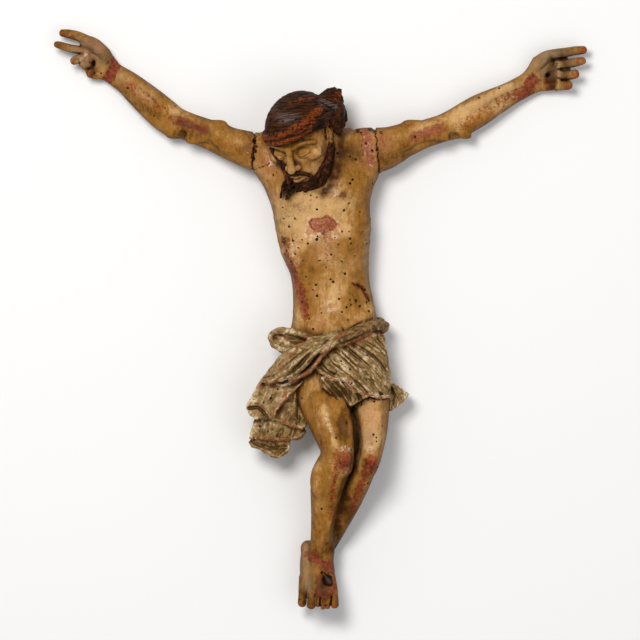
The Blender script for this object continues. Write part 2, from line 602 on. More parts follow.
def carve_head(block):
    block.ball((0, 54, -1), (28.5, 27.5, 35.5), blend=1)
    block.limb(FACE, 3)
    block.limb(NAPE, 6)
    for side in BOTH:
        block.limb(mirrored(side, JAW), 5)
        block.ball((side * 12.5, 46.5, 39.5), (9.5, 7, 8.5), blend=5, hollow=True)
        block.ball((side * 21, 24, 34), (5, 8, 5), blend=8, hollow=True)
        block.ball((side * 20.5, 38.5, 25), (7.5, 6, 8), blend=6)
        block.limb(mirrored(side, BROW), 4)
        block.ball((side * 12.2, 45, 28.6), (7.6, 5.6, 6.6), blend=1.2)
        block.limb(mirrored(side, LOWER_LID), 1.6)
        block.limb(mirrored(side, UPPER_LID), 0.8)
        block.score(mirrored(side, LID_PARTING), 0.7, 0.9)
        block.score(mirrored(side, LID_FOLD), 1.1, 0.8)
        block.ball((side * 5.4, 32.3, 40), (3, 3.3, 4), blend=1.4)
        block.ball((side * 2.6, 29, 43), (1.5, 1.4, 2.2), blend=0.5, hollow=True)
    block.limb(NOSE, 2)
    block.ball((0, 32.6, 45.6), (3.8, 3.4, 3.6), blend=1.5)
    block.ball((0, 22, 32.6), (12.5, 8.5, 8), blend=4)
    block.limb(UPPER_LIP, 0.9)
    block.limb(LOWER_LIP, 0.9)
    block.score(MOUTH, 0.7, 1.3)
    block.score(LIP_GROOVE, 1.2, 0.7)
    block.ball((0, 6.5, 32), (8, 7, 6.5), blend=4)
    # the figure's left ear, and the right one half under the hair
    for side in BOTH:
        block.ball((side * 27.4, 41, -3), (3.2, 9.8, 5.8), blend=1)
        block.ball((side * 31.6, 40.6, -1.6), (2.8, 5.6, 3.4), blend=0.8, hollow=True)
        block.limb(mirrored(side, EAR_RIM), 0.6)
        block.limb(mirrored(side, EAR_FOLD), 0.6)
        block.ball((side * 28.2, 32.2, -1), (1.8, 2.8, 2.5), blend=0.8)
        block.ball((side * 28.4, 40.4, 3), (1.2, 2.2, 1.4), blend=0.6)


# Hair and beard
# Long combed hair with the worn seat of the lost crown round it, a broken knot behind, and locks
# that fall on the neck and the right shoulder. The short beard follows the jaw and is forked.
def lock(block, stations, blend=1.0, grooves=(-0.4, 0.4), cut=0.9):
    block.limb(stations, blend)
    path = np.array([s[:5] for s in stations], float)
    along = np.gradient(path[:, :3], axis=0)
    side = np.cross(OUT, along)
    side /= np.maximum(np.linalg.norm(side, axis=1, keepdims=True), TINY)
    up = np.cross(along, side)
    up /= np.maximum(np.linalg.norm(up, axis=1, keepdims=True), TINY)
    up *= np.sign(up[:, 2:3] + TINY)
    for share in grooves:
        rise = math.sqrt(1 - share * share)
        block.score(path[:, :3] + side * share * path[:, 3:4] + up * rise * path[:, 4:5], cut, cut)


ROLLED_EDGE = [
    (-29, 50, -6, 4, 4.6), (-31, 53.5, 2, 4.2, 4.6), (-28.5, 57.5, 16, 4.4, 4.6),
    (-17.5, 60.5, 31.5, 4.4, 4.6), (0, 64, 38.5, 3.8, 4.4), (17, 66.5, 32.5, 3, 4),
    (28.5, 67, 18, 2.6, 3.8), (33.5, 64, 3, 2.4, 3.6), (33.5, 60, -10, 2.4, 3.6),
]
EDGE_GROOVE = [
    (-34, 59, 3), (-31, 63.5, 17), (-18.5, 66.6, 33.5), (0, 69, 41), (16.5, 70.6, 35), (28.5, 70.6, 19.5),
    (33.5, 67, 4),
]
KNOT = [(326, 118, 50, 16, 19), (331, 112, 48, 14, 17), (334, 104, 46, 10, 13)]
KNOT_END = [(324, 104, 50, 10, 11), (332, 97, 48, 9, 10), (336, 94, 46, 6, 7)]
KNOT_STRANDS = (
    [(312, 100, 66, 3, 4), (322, 103, 68, 3.4, 4), (332, 108, 64, 3.4, 4), (340, 116, 56, 3, 4),
     (343, 125, 48, 2.6, 4)],
    [(311, 107, 74, 3, 4), (320, 109, 73, 3.4, 4), (329, 114, 68, 3.2, 4), (337, 122, 58, 3, 4),
     (340, 131, 49, 2.4, 4)],
    [(313, 115, 80, 2.6, 4), (322, 117, 76, 3, 4), (330, 121, 69, 3, 4), (335, 128, 60, 2.8, 4),
     (336, 134, 52, 2, 3)],
    [(318, 99, 58, 3, 4), (327, 100, 59, 3.2, 4), (336, 104, 55, 3.2, 4), (343, 111, 48, 3, 4),
     (345, 120, 42, 2.6, 4)],
)
NECK_LOCKS = (
    [(338, 112, 48, 4, 6), (341, 122, 43, 4, 6), (340, 131, 38, 3.4, 5)],
    [(334, 118, 60, 3.4, 5), (337, 128, 56, 3.4, 5), (338, 138, 50, 3, 4), (336, 149, 45, 2, 3)],
)
SHOULDER_LOCKS = (
    [(273, 149, 70, 2.6, 5), (277, 156, 71, 2.4, 5), (282, 164, 70.5, 2.4, 5), (286, 172, 69.5, 2.6, 5),
     (290, 179, 68, 2.6, 5), (289, 185, 67, 2, 4), (284.6, 189.6, 66, 1.5, 3.4), (281.6, 193, 65, 1.2, 3),
     (281, 198, 63, 1, 2.4)],
    [(284, 163, 73, 1.4, 3), (288, 171, 72, 1.7, 3.4), (292, 178, 70.6, 2, 4), (296.6, 183, 69.5, 2.2, 4),
     (296.6, 188, 68, 1.8, 4), (292, 192.4, 67, 1.4, 3.4), (287.4, 195.6, 66, 1.3, 3),
     (286.4, 200, 64, 1, 2.4)],
    [(291, 180, 68, 1.8, 4), (286, 182.6, 67, 1.8, 3.6), (283, 186.4, 66, 1.4, 3),
     (282.4, 190, 65, 1.1, 2.6)],
    [(294, 185, 69, 1.4, 3), (290, 188.4, 68, 1.3, 3), (288, 193, 66, 1.1, 2.6)],
)
BEARD_LOCKS = (
    [(27.6, 31, 2, 2.6, 3), (26.4, 25, 4, 3.8, 4), (23, 17, 9.5, 4.4, 4), (17, 9, 19, 4.6, 4),
     (10, 3, 28, 4.6, 4.2), (4, -0.5, 32, 4.6, 4.4)],
    [(26.5, 28, -3, 3.4, 4), (23.5, 19, -1, 5, 4.4), (19, 8, 6, 5.4, 4.6), (13, 0, 15, 5.4, 5),
     (6, -4, 23, 5, 5), (1, -5, 26, 5, 5)],
    [(15, 4, 6, 6, 6), (8, -3, 14, 6, 6), (2, -6, 20, 6, 6)],
    [(20.5, 18, 18.6, 2, 2.6), (15, 10, 27, 2.4, 3), (9, 5, 33.4, 2.6, 3), (4, 2.5, 36, 2.6, 3)],
    [(3.6, 9.6, 38.4, 1.8, 2.2), (3, 5, 38.6, 2.4, 2.6), (2.4, -1, 36, 2.6, 2.6)],
)
MOUSTACHE = [
    (1.2, 27, 41.4, 1.3, 1.4), (5, 26, 41.4, 2, 1.9), (9.6, 23, 38.8, 2.2, 2), (13, 18, 35.6, 2, 2),
    (14, 11, 33, 1.5, 1.8),
]
BEARD_ENDS = (
    [(329, 145, 62, 2.6, 4), (328.6, 152, 61, 4.2, 5), (326.8, 163, 60.4, 5.2, 5.6), (324, 173, 60, 5.8, 6),
     (319.4, 182.4, 60, 6, 6.2), (310.6, 186.6, 61.6, 5.4, 6), (302, 187, 62, 4.6, 6)],
    [(322, 152, 66, 1.6, 2.4), (321, 163, 66, 2.4, 3.4), (318.6, 173, 66, 3, 4), (313.6, 181, 66.6, 3.4, 4),
     (306, 185.6, 68, 3.6, 4), (297.6, 184, 66, 3.2, 4)],
)


def carve_hair(block):
    hairline = ([-42, -30, -18, -11, -9, 6, 20, 34, 60], [14, 18, 26, 34, 53, 55, 60, 64, 68])
    cut, (x, h, f) = block.window([-40, 8, -46], [40, 98, 46])
    scale = np.sqrt((x / 33.5) ** 2 + ((h - 54) / 31.5) ** 2 + ((f + 2) / 40.5) ** 2)
    shape = (scale - 1) * 33
    shape = np.maximum(shape, (np.interp(f, *hairline) - h) * 0.85)
    block.add(cut, shape.astype(np.float32), 1)
    # the rolled edge where the crown sat
    block.limb(ROLLED_EDGE, 1)
    block.score(EDGE_GROOVE, 1.3, 1.7)
    # combed strands, level over the crown and rising along the rolled edge
    cut, (x, h, f) = block.window([-44, 30, -50], [44, 98, 52])
    spot = (x, h - HEAD_PIVOT[1], f - HEAD_PIVOT[2])
    right, up = (sum(share * way for share, way in zip(HEAD_TURN[i], spot)) for i in (0, 1))
    level = up - 0.36 * soft_step(30, -6, up) * right
    level = level + 0.9 * np.sin(right / 8.0 + 0.06 * up) + 0.5 * np.sin(right / 3.9 + up / 5.0)
    ridge = np.abs(np.cos(level * math.pi / 3.0)) ** 0.7 + 0.3 * np.abs(np.cos(level * math.pi / 1.3 + 1))
    block.field[cut] += ((1 - ridge) * 0.5 * soft_step(61, 67, h + 0.1 * x - 0.1 * f)).astype(np.float32)
    # the knot behind, its broken end and the strands that lead to it
    block.limb(seen(KNOT), 4)
    block.limb(seen(KNOT_END), 1.5)
    for stations in KNOT_STRANDS:
        lock(block, seen(stations), 0.8, (-0.3, 0.35))
    block.chip(into_head((337, 98, 46)), 17, 4.2, 2.8, 9)
    # falling locks behind the left ear
    for stations in NECK_LOCKS:
        lock(block, seen(stations), 1)
    # side lock on the right, ending in a forked curl on the chest
    for stations in SHOULDER_LOCKS:
        lock(block, seen(stations), 0.7, (-0.35, 0.4), 0.8)
    # beard along the jaw and under the chin, and the moustache
    for side in BOTH:
        for stations in BEARD_LOCKS:
            lock(block, mirrored(side, stations), 1, (-0.6, -0.1, 0.45), 0.75)
        lock(block, mirrored(side, MOUSTACHE), 0.7, (0.1,), 0.6)
    for stations in BEARD_ENDS:
        lock(block, seen(stations), 1.2, (-0.7, -0.35, 0.05, 0.45), 0.85)


# Loincloth
# The cloth is carved in one with the hips: a wrap, a rolled waist, a twisted band falling as a tail
# in three layers, and folds fanned over the left thigh.
def draped_front(x, y):
    front = np.interp(y, [326, 345, 360, 375, 390, 402], [56, 61, 66, 70, 73, 72])
    return 31 + (front - 31) * np.sqrt(np.maximum(0.02, 1 - ((x - 336) / 57.5) ** 2))


def creased(x, y, face, valleys, wide=2.2, deep=4.2):
    for points in valleys:
        face = face - deep * line(x, y, points, wide)
    return face


APRON = [
    (314, 366), (320, 354), (331, 345), (345, 343), (360, 339), (374, 334), (384, 333), (386, 346),
    (389, 366), (391.5, 384), (390, 397), (380, 397.5), (371, 394), (366, 395.5), (358, 390), (350, 382),
    (342, 379), (331, 377.5), (321, 374),
]
APRON_VALLEYS = (
    [(318, 362), (328, 372), (342, 378.5)], [(324, 353), (332, 364), (344, 373), (356, 382), (366, 393)],
    [(333, 347), (345, 358), (357, 370), (372, 384), (381, 395)],
    [(345, 346), (358, 358), (370, 368), (385, 388)], [(353, 344), (367, 352), (379, 362), (389, 378)],
    [(366, 343), (378, 350), (388, 362)], [(364, 372), (376, 384), (388, 391)], [(376, 340), (386, 350)],
)
APRON_CREASES = (
    [(328, 352), (338, 363), (350, 373)], [(340, 350), (352, 362), (364, 372), (376, 387)],
    [(350, 351), (362, 360)], [(362, 378), (372, 391)], [(361, 348), (373, 357), (384, 370)],
    [(336, 373), (348, 379), (360, 389)], [(375, 372), (384, 383)],
)


def apron_face(x, y):
    face = creased(x, y, draped_front(x, y) + 3.2, APRON_VALLEYS)
    return creased(x, y, face, APRON_CREASES, 1.1, 1.3)


UPPER_TAIL_EDGE = [(303, 381), (291, 392), (283, 401), (276, 411)]
UPPER_TAIL_HEM = [(247, 405), (258, 403), (264, 408), (271, 417)]
UPPER_TAIL_GROOVE = [(249, 408), (258, 407), (264, 412), (270, 420)]
UPPER_TAIL_CREASES = (
    [(266, 388), (262, 402)], [(281, 388), (273, 402)], [(264, 384), (284, 386), (298, 382)],
)
SIDE_TAIL_HEM = [(272, 417), (284, 421.5), (302, 428)]
SIDE_TAIL_CREASES = ([(291, 396), (286, 418)], [(300, 390), (298, 424)], [(281, 408), (278, 417)])
MIDDLE_TAIL_HEM = [(250, 437), (264, 438), (282, 438.6), (297, 438), (304, 432)]
MIDDLE_TAIL_CREASES = ([(266, 420), (261, 437)], [(281, 425), (278, 438)], [(294, 428), (291, 438)])
LOWER_TAIL_HEM = [(250, 442), (262, 449.6), (278, 457.6), (289, 449)]
LOWER_TAIL_CREASES = ([(254, 443), (270, 448), (286, 447)], [(276, 443), (280, 455)])
DROP_RIDGE = [(348, 383), (354, 392), (352, 404)]
DROP_CREASES = (
    [(326, 379), (337, 391), (347, 403)], [(334, 379), (344, 390), (350, 401)], [(324, 384), (334, 397)],
    [(357, 388), (360, 399)], [(343, 381), (350, 390)],
)
LOOP_CREASES = ([(273, 336), (285, 340.6), (300, 346)], [(279, 334), (294, 338)])
HIP_CREASES = ([(389, 384), (394, 395), (392, 408)], [(394, 385), (402, 393)], [(398, 398), (394, 408)])


def upper_tail(x, y):
    face = 56 + 1.2 * np.sin((x + 0.5 * y - 462) / 5.2) + 2.4 * line(x, y, UPPER_TAIL_EDGE, 2.2)
    face = face + 1.8 * line(x, y, UPPER_TAIL_HEM, 1.5)
    face = creased(x, y, face, (UPPER_TAIL_GROOVE,), 1.4, 4)
    return creased(x, y, face, UPPER_TAIL_CREASES, 1.8, 2.0)


def side_tail(x, y):
    face = 50 + 1.6 * line(x, y, SIDE_TAIL_HEM, 1.6)
    return creased(x, y, face, SIDE_TAIL_CREASES, 2.4, 3.4)


def middle_tail(x, y):
    face = 46 - 0.04 * (y - 425) + 2 * line(x, y, MIDDLE_TAIL_HEM, 1.5)
    return creased(x, y, face, MIDDLE_TAIL_CREASES, 2.6, 3.2)


def lower_tail(x, y):
    face = 41 + 1.6 * line(x, y, LOWER_TAIL_HEM, 1.4)
    return creased(x, y, face, LOWER_TAIL_CREASES, 2, 2.6)


def drop_face(x, y):
    face = 73 - 0.16 * (y - 380) - 0.2 * np.maximum(x - 350, 0)
    face = face + 2.6 * line(x, y, DROP_RIDGE, 4)
    return creased(x, y, face, DROP_CREASES, 1.7, 4.2)


def loop_face(x, y):
    return creased(x, y, 53 + 0.12 * (x - 285) + 0 * y, LOOP_CREASES, 1.8, 1.6)


def hip_face(x, y):
    return creased(x, y, 37 - 0.1 * (x - 385) + 0 * y, HIP_CREASES, 1.6, 3.0)


def in_tail(x, y):
    return (x < 310) & (y > np.interp(x, [255, 283, 303, 310], [386, 383, 377, 371]))


# Two measures over the cloth: across the folds and along them, as they run in each of its parts
def fold_lines(x, y):
    x, y = np.broadcast_arrays(x, y)
    turn = np.full(x.shape, 44.0)
    turn[(x > 320) & (x < 352) & (y > 379)] = 58
    turn[x > 390.5] = 78
    band = y < np.interp(x, [255, 283, 303, 314, 324, 345, 360, 384],
                         [386, 383, 377, 368, 355, 344, 340, 331])
    turn[band] = -32
    turn[band & (x < 300) & (y < 352)] = 12
    turn[in_tail(x, y)] = 98
    turn = np.radians(turn)
    return y * np.cos(turn) - x * np.sin(turn), x * np.cos(turn) + y * np.sin(turn)


def hand_cut(x, y):
    across, along = fold_lines(x, y)
    fine = 0.26 * np.sin(0.9 * across + 1.8 * np.sin(0.09 * along))
    fine = fine + 0.08 * np.sin(2.1 * across + 0.2 * along)
    return fine * (1 - 0.7 * in_tail(x, y)) + 0.34 * np.sin(0.42 * x + 0.36 * y + 1.8 * np.sin(0.15 * y))


WRAP = [(336, 330, 28, 47, 25), (336, 350, 29, 49.5, 27), (338, 370, 31, 50, 28.5), (340, 386, 33, 48, 27)]
THIGH_WRAP = [(366, 372, 33, 24.6, 22), (369, 391, 38, 21, 20.5)]
APRON_EDGES = (
    [(316, 367, 67, 1.6, 2.4), (323, 374, 69, 1.8, 2.6), (333, 378.4, 70, 1.8, 2.6),
     (344, 380, 70, 1.8, 2.6)],
    [(350, 383, 70, 1.8, 2.6), (358, 391, 68, 1.8, 2.6), (366, 396, 64, 1.6, 2.4)],
    [(369, 394.6, 67.4, 1.8, 2.6), (379, 397, 61, 1.8, 2.6), (389, 396, 50, 1.8, 3)],
)
DROP = [
    (321, 376), (333, 378), (345, 381), (352, 386), (364, 393), (366, 396), (360, 401), (351, 406),
    (344, 403), (333, 397), (324, 387),
]
WAIST_ROLL = [
    (330, 345, 61, 3, 4), (338, 342, 63, 5, 6.5), (350, 337, 61, 6.8, 8.5), (361, 332.4, 54, 8, 10.5),
    (371, 329, 44, 8.4, 11.5), (377.6, 327, 30, 7.2, 12), (378, 328, 16, 7, 9),
]
UPPER_WAIST_GROOVE = [(334, 341, 69), (350, 333.5, 70), (364, 327, 64), (378, 321.6, 50), (386, 321, 36)]
LOWER_WAIST_GROOVE = [(338, 345, 67), (352, 339, 67), (366, 334, 62), (378, 331, 50), (386, 328, 36)]
WAIST_SCORE = [(346, 333, 68), (360, 325.5, 64), (374, 320.5, 54)]
GATHERED_WAIST = [
    (333, 338, 57, 4, 6), (320, 341, 56, 4, 6), (306, 342, 50, 6, 8), (296, 340, 34, 6, 12),
    (298, 340, 16, 6, 10),
]
LOOP_INSIDE = [
    (270, 336), (278, 331), (292, 331), (304, 336), (306, 346), (296, 351), (283, 351), (273, 346),
]
LOOP = [
    (312, 339.6, 60, 3, 5), (300, 334, 59, 3.6, 6), (286, 330.8, 55, 3.4, 6.4), (275.4, 332, 50, 3.4, 6.4),
    (271, 337.6, 47, 3, 6.4), (274.6, 344.6, 48, 3.4, 6.4), (284, 350, 52, 3.6, 6.4),
    (296, 350.4, 56, 4.4, 7),
]
BAND = [
    (334, 339, 55, 8, 9), (314, 350, 62, 12, 11.4), (298, 359.6, 60, 14, 12.4),
    (284, 368.6, 56.4, 12, 11.4), (270, 379, 52.6, 7, 9.4),
]
BAND_FOLDS = (
    [(346, 333, 62, 2.2, 4), (335, 343, 67, 2.8, 5), (323, 353, 71, 2.8, 5.4), (314.6, 365, 71, 2.8, 5.4),
     (305, 373.6, 68, 2.6, 5), (291, 379.6, 63, 2.2, 4.6)],
    [(341, 335, 61, 2, 4), (328.6, 343.6, 68, 2.9, 5), (315, 353, 73, 3, 5.4), (306, 363.6, 72, 3, 5.4),
     (295, 373, 67, 2.7, 5), (281, 380, 61, 2.2, 4.6)],
    [(336, 336.6, 60, 2, 4), (321, 343, 66.6, 2.8, 5), (308, 351.6, 70.4, 3, 5.4),
     (297, 362.6, 69, 2.9, 5.4), (285, 372.6, 64, 2.6, 5), (272, 380.6, 59.4, 2.2, 4.6)],
    [(328, 339, 59, 2, 4), (314, 343.6, 66, 2.8, 5), (302, 349.6, 68.6, 2.9, 5.4),
     (290, 359.6, 67, 2.9, 5.4), (278, 370.6, 62, 2.6, 5), (265, 381, 58, 2, 4)],
    [(309, 343, 60, 2, 4), (298, 346, 63, 2.6, 5), (287, 354.6, 62.6, 2.8, 5), (279, 364, 60.6, 2.6, 5),
     (271, 373, 57.6, 2.4, 4.6), (262.6, 381, 55, 2, 4)],
)
BAND_SCORES = (
    [(338, 340.6, 71), (327, 350, 76), (316, 362.6, 77), (304, 372.6, 73)],
    [(329, 341, 71), (314.6, 351, 77.5), (303, 364, 76), (290, 374.6, 70)],
    [(319, 343, 71), (306, 352, 75), (294, 363.6, 73), (281, 374, 68)],
    [(311, 345.6, 70), (298, 354, 72), (285, 366, 69), (273, 376.6, 64)],
)
LOWER_TAIL = [
    (250, 440), (262, 437), (291, 440), (290, 448), (288, 453), (278, 459), (272, 457), (260, 450),
    (252, 447), (248, 442),
]
MIDDLE_TAIL = [
    (256, 415), (275, 417), (304, 428), (306.6, 432), (303, 437), (297, 440), (280, 441), (262, 440),
    (249, 439), (250, 432), (253, 424),
]
SIDE_TAIL = [
    (292, 378), (302, 376), (307, 390), (308, 410), (307, 425), (302, 430), (283, 424), (272, 418),
    (276, 405), (284, 392),
]
UPPER_TAIL = [
    (262, 379), (283, 384), (300, 377), (304, 381), (295, 390), (285, 401), (277, 411), (274, 420),
    (266, 417), (256, 419), (250, 415), (246, 408), (248, 402), (253, 393), (257, 385),
]
TAIL_CORE = [(288, 388, 40, 12, 10), (284, 406, 40, 10, 9), (276, 428, 39, 10, 7)]
HIP_CLOTH = [
    (380, 376), (391, 382), (399, 386), (408.4, 393.6), (406.6, 399), (400, 405), (393, 410), (386, 412),
    (380, 406),
]


def carve_cloth(block):
    block.limb(WRAP, 2)
    block.cut_off((0, 335, 0), (0, -1, 0))
    block.limb(THIGH_WRAP, 2)
    # folds fanned over the left thigh
    block.layer(APRON, apron_face, 12, 1.2, 1.4)
    for stations in APRON_EDGES:
        block.limb(stations, 1)
    # folds drawn in between the thighs, ending in points
    block.layer(DROP, drop_face, 16, 1, 1.2)
    # rolled waist on the figure's left
    block.limb(WAIST_ROLL, 1.2)
    block.score(UPPER_WAIST_GROOVE, 1.3, 2.2)
    block.score(LOWER_WAIST_GROOVE, 1.2, 2)
    block.score(WAIST_SCORE, 0.9, 1)
    # gathered waist on the figure's right, with the loop of the knot
    block.limb(GATHERED_WAIST, 1.2)
    block.layer(LOOP_INSIDE, loop_face, 14, 1, 1.4)
    block.limb(LOOP, 0.8)
    # twisted band
    block.limb(BAND, 1.5)
    for stations in BAND_FOLDS:
        block.limb(stations, 1.4)
    for stations in BAND_SCORES:
        block.score(stations, 0.9, 0.9)
    # tail, layers one behind the other
    block.layer(LOWER_TAIL, lower_tail, 9, 1, 1)
    block.layer(MIDDLE_TAIL, middle_tail, 11, 1, 1)
    block.layer(SIDE_TAIL, side_tail, 12, 1, 1)
    block.layer(UPPER_TAIL, upper_tail, 13, 1, 1)
    block.limb(TAIL_CORE, 1.5)
    # end of cloth standing out behind the left hip
    block.layer(HIP_CLOTH, hip_face, 22, 2, 1.4)
    block.relief((240, 310), (412, 462), hand_cut, 6)


# Arms
# Each arm is carved with its hand and let in at the shoulder, where the old glue joint has opened.
# The palm faces the viewer, the thumb is uppermost and the hole of the lost nail goes through.
RIGHT_SEAM = ((255, 128), (252.5, 172))
LEFT_SEAM = ((374.5, 125), (379.5, 176))
SEAM_FOOT = 205


def seam_plane(seam, outwards):
    (x0, y0), (x1, y1) = seam
    normal = np.array([y1 - y0, x0 - x1, 0.0])
    normal *= outwards * np.sign(normal[0]) / np.linalg.norm(normal)
    return np.array([x0, y0, 0.0]), normal


RIGHT_ARM = {
    "whole": [
        (300, 158, 28, 19, 20), (272, 156, 28, 19.5, 20), (253, 151, 27, 19, 19),
        (240, 147, 26, 17.4, 17.5), (228, 142.5, 24, 16, 16), (213, 136, 21.5, 15, 14.5),
        (200, 131, 20, 14.4, 14), (187, 126, 18.5, 14, 13.5), (174, 121.5, 17, 15.4, 14),
        (164, 114.5, 16, 16.2, 13.5), (152, 104, 15, 15.6, 13), (140, 93.5, 13.5, 14.2, 11.5),
        (128, 83, 12, 12.4, 10), (117, 75.5, 10.5, 11.2, 9), (109, 70, 10, 11, 8.5), (103, 64, 9, 11.5, 8),
    ],
    "muscles": (
        ((206, 132, 31), (22, 8, 6), -24, 8), ((233, 141, 36), (14, 9, 6), -20, 8),
        ((176, 131, 22), (10, 5, 6), -30, 6),
    ),
    "upper_groove": [(238, 153, 38), (218, 148, 33), (196, 139, 30), (182, 131, 28)],
    "forearm_muscles": (
        [(156, 96, 25, 4, 5), (140, 84, 23, 4, 4), (124, 74, 19, 2.6, 3)],
        [(158, 111, 27, 4, 5), (142, 97, 23, 4, 4), (124, 82, 19, 2.4, 3)],
    ),
    "forearm_groove": [(160, 104, 29), (142, 90, 25), (126, 78, 20)],
    "wrist_tendons": (
        [(118, 71.5, 18.5, 1.4, 2), (106, 63.5, 17, 1.2, 2)],
        [(119, 77, 19, 1.4, 2), (107, 69, 17.5, 1.2, 2)],
    ),
    "palm": [
        (108, 68, 9.5, 11.5, 8), (100, 61.5, 9.5, 13.5, 7.5), (92, 58, 9.5, 14, 7), (85, 57, 10, 12.5, 6),
    ],
    "palm_mounds": (
        [(109, 60, 12, 5, 6), (104, 53, 15, 6.4, 6.4), (98, 48.6, 16.4, 6.4, 6), (91, 46.6, 16, 4.6, 5)],
        [(104, 74, 12, 4.6, 5), (96, 74, 13.4, 5, 5.6), (90.6, 73, 13.4, 4.4, 5)],
    ),
    "palm_line": [(82, 46.6, 19), (90, 51.4, 20.6), (96, 57, 20), (101, 65, 18.4)],
    "palm_folds": (),
    "finger_ridges": (),
    "palm_hollow": ((94.5, 62.5, 17.5), (5.5, 5, 3)),
    "knuckles": [(87, 50, 14, 4, 4.6), (85.6, 57, 15, 4, 4.6), (86, 65, 15, 4, 4.4), (89, 71, 14, 3.6, 4)],
    "knuckle_blend": 1.8,
    "fingers": (
        [(101, 50, 14, 6.4, 6), (94.5, 43.6, 17.5, 5.8, 5.2), (86, 39.4, 18, 4.9, 4.6),
         (77, 35.6, 17, 4.9, 4.4), (68, 33.4, 16.4, 4.4, 3.8), (62, 32.6, 16, 3.7, 3.2)],
        [(89, 51.6, 12, 4.8, 5), (80, 49.8, 15.4, 4.4, 4.4), (73, 48.6, 18, 4.1, 4.2),
         (66, 47, 19.4, 4.1, 3.9), (59.8, 45, 19.4, 3.8, 3.5), (56.6, 44.2, 19, 3.3, 3.1)],
        [(89, 57.6, 12, 5, 5), (83, 58, 16, 4.8, 4.6), (77.4, 59.4, 19.6, 4.5, 4.2),
         (73.6, 60.8, 21, 4, 3.6)],
        [(91, 66, 12, 4.6, 5), (85.6, 65.4, 16, 4.4, 4.8), (82.4, 63.6, 19, 3.8, 4)],
        [(98, 73, 11, 4, 4.6), (92.5, 74.4, 14, 3.6, 4), (89.6, 74, 18.5, 3.3, 3.5),
         (91, 71.4, 21.5, 3, 3)],
    ),
    "creases": (
        [(79, 33, 20.4), (78, 37.6, 22), (77, 41.6, 20)],
        [(91, 40, 20.6), (89.5, 44, 22.6), (87.6, 47.6, 20.6)],
        [(82.6, 46, 19), (82, 49.6, 20.4), (81.6, 53, 18.6)],
        [(71, 44.8, 21), (70.6, 48.2, 23), (70, 51.4, 21)],
        [(79.4, 56.4, 21), (79, 59.4, 23), (79, 62.4, 21)],
        [(100, 54, 20), (95, 56.5, 18.4), (89.6, 60, 17.4)],
        [(102, 59.5, 19), (98, 66.5, 18.4), (92, 70, 18)],
        [(112, 63, 17.6), (108, 68.5, 18.6), (107, 75.6, 17)],
        [(109.5, 60, 17), (105.4, 66, 18.4), (104, 75, 17)],
    ),
    "thumb_webs": ([(92, 47, 15, 5, 4.6), (86, 44.4, 16, 4.2, 4.2), (81.8, 43.2, 16.4, 2.4, 3.2)],),
    "nail_hole": [(97.4, 66, -6, 2.2, 0.8, -34), (90, 60.6, 33, 4, 1.9, -34)],
    "hole_blend": 0.6,
}
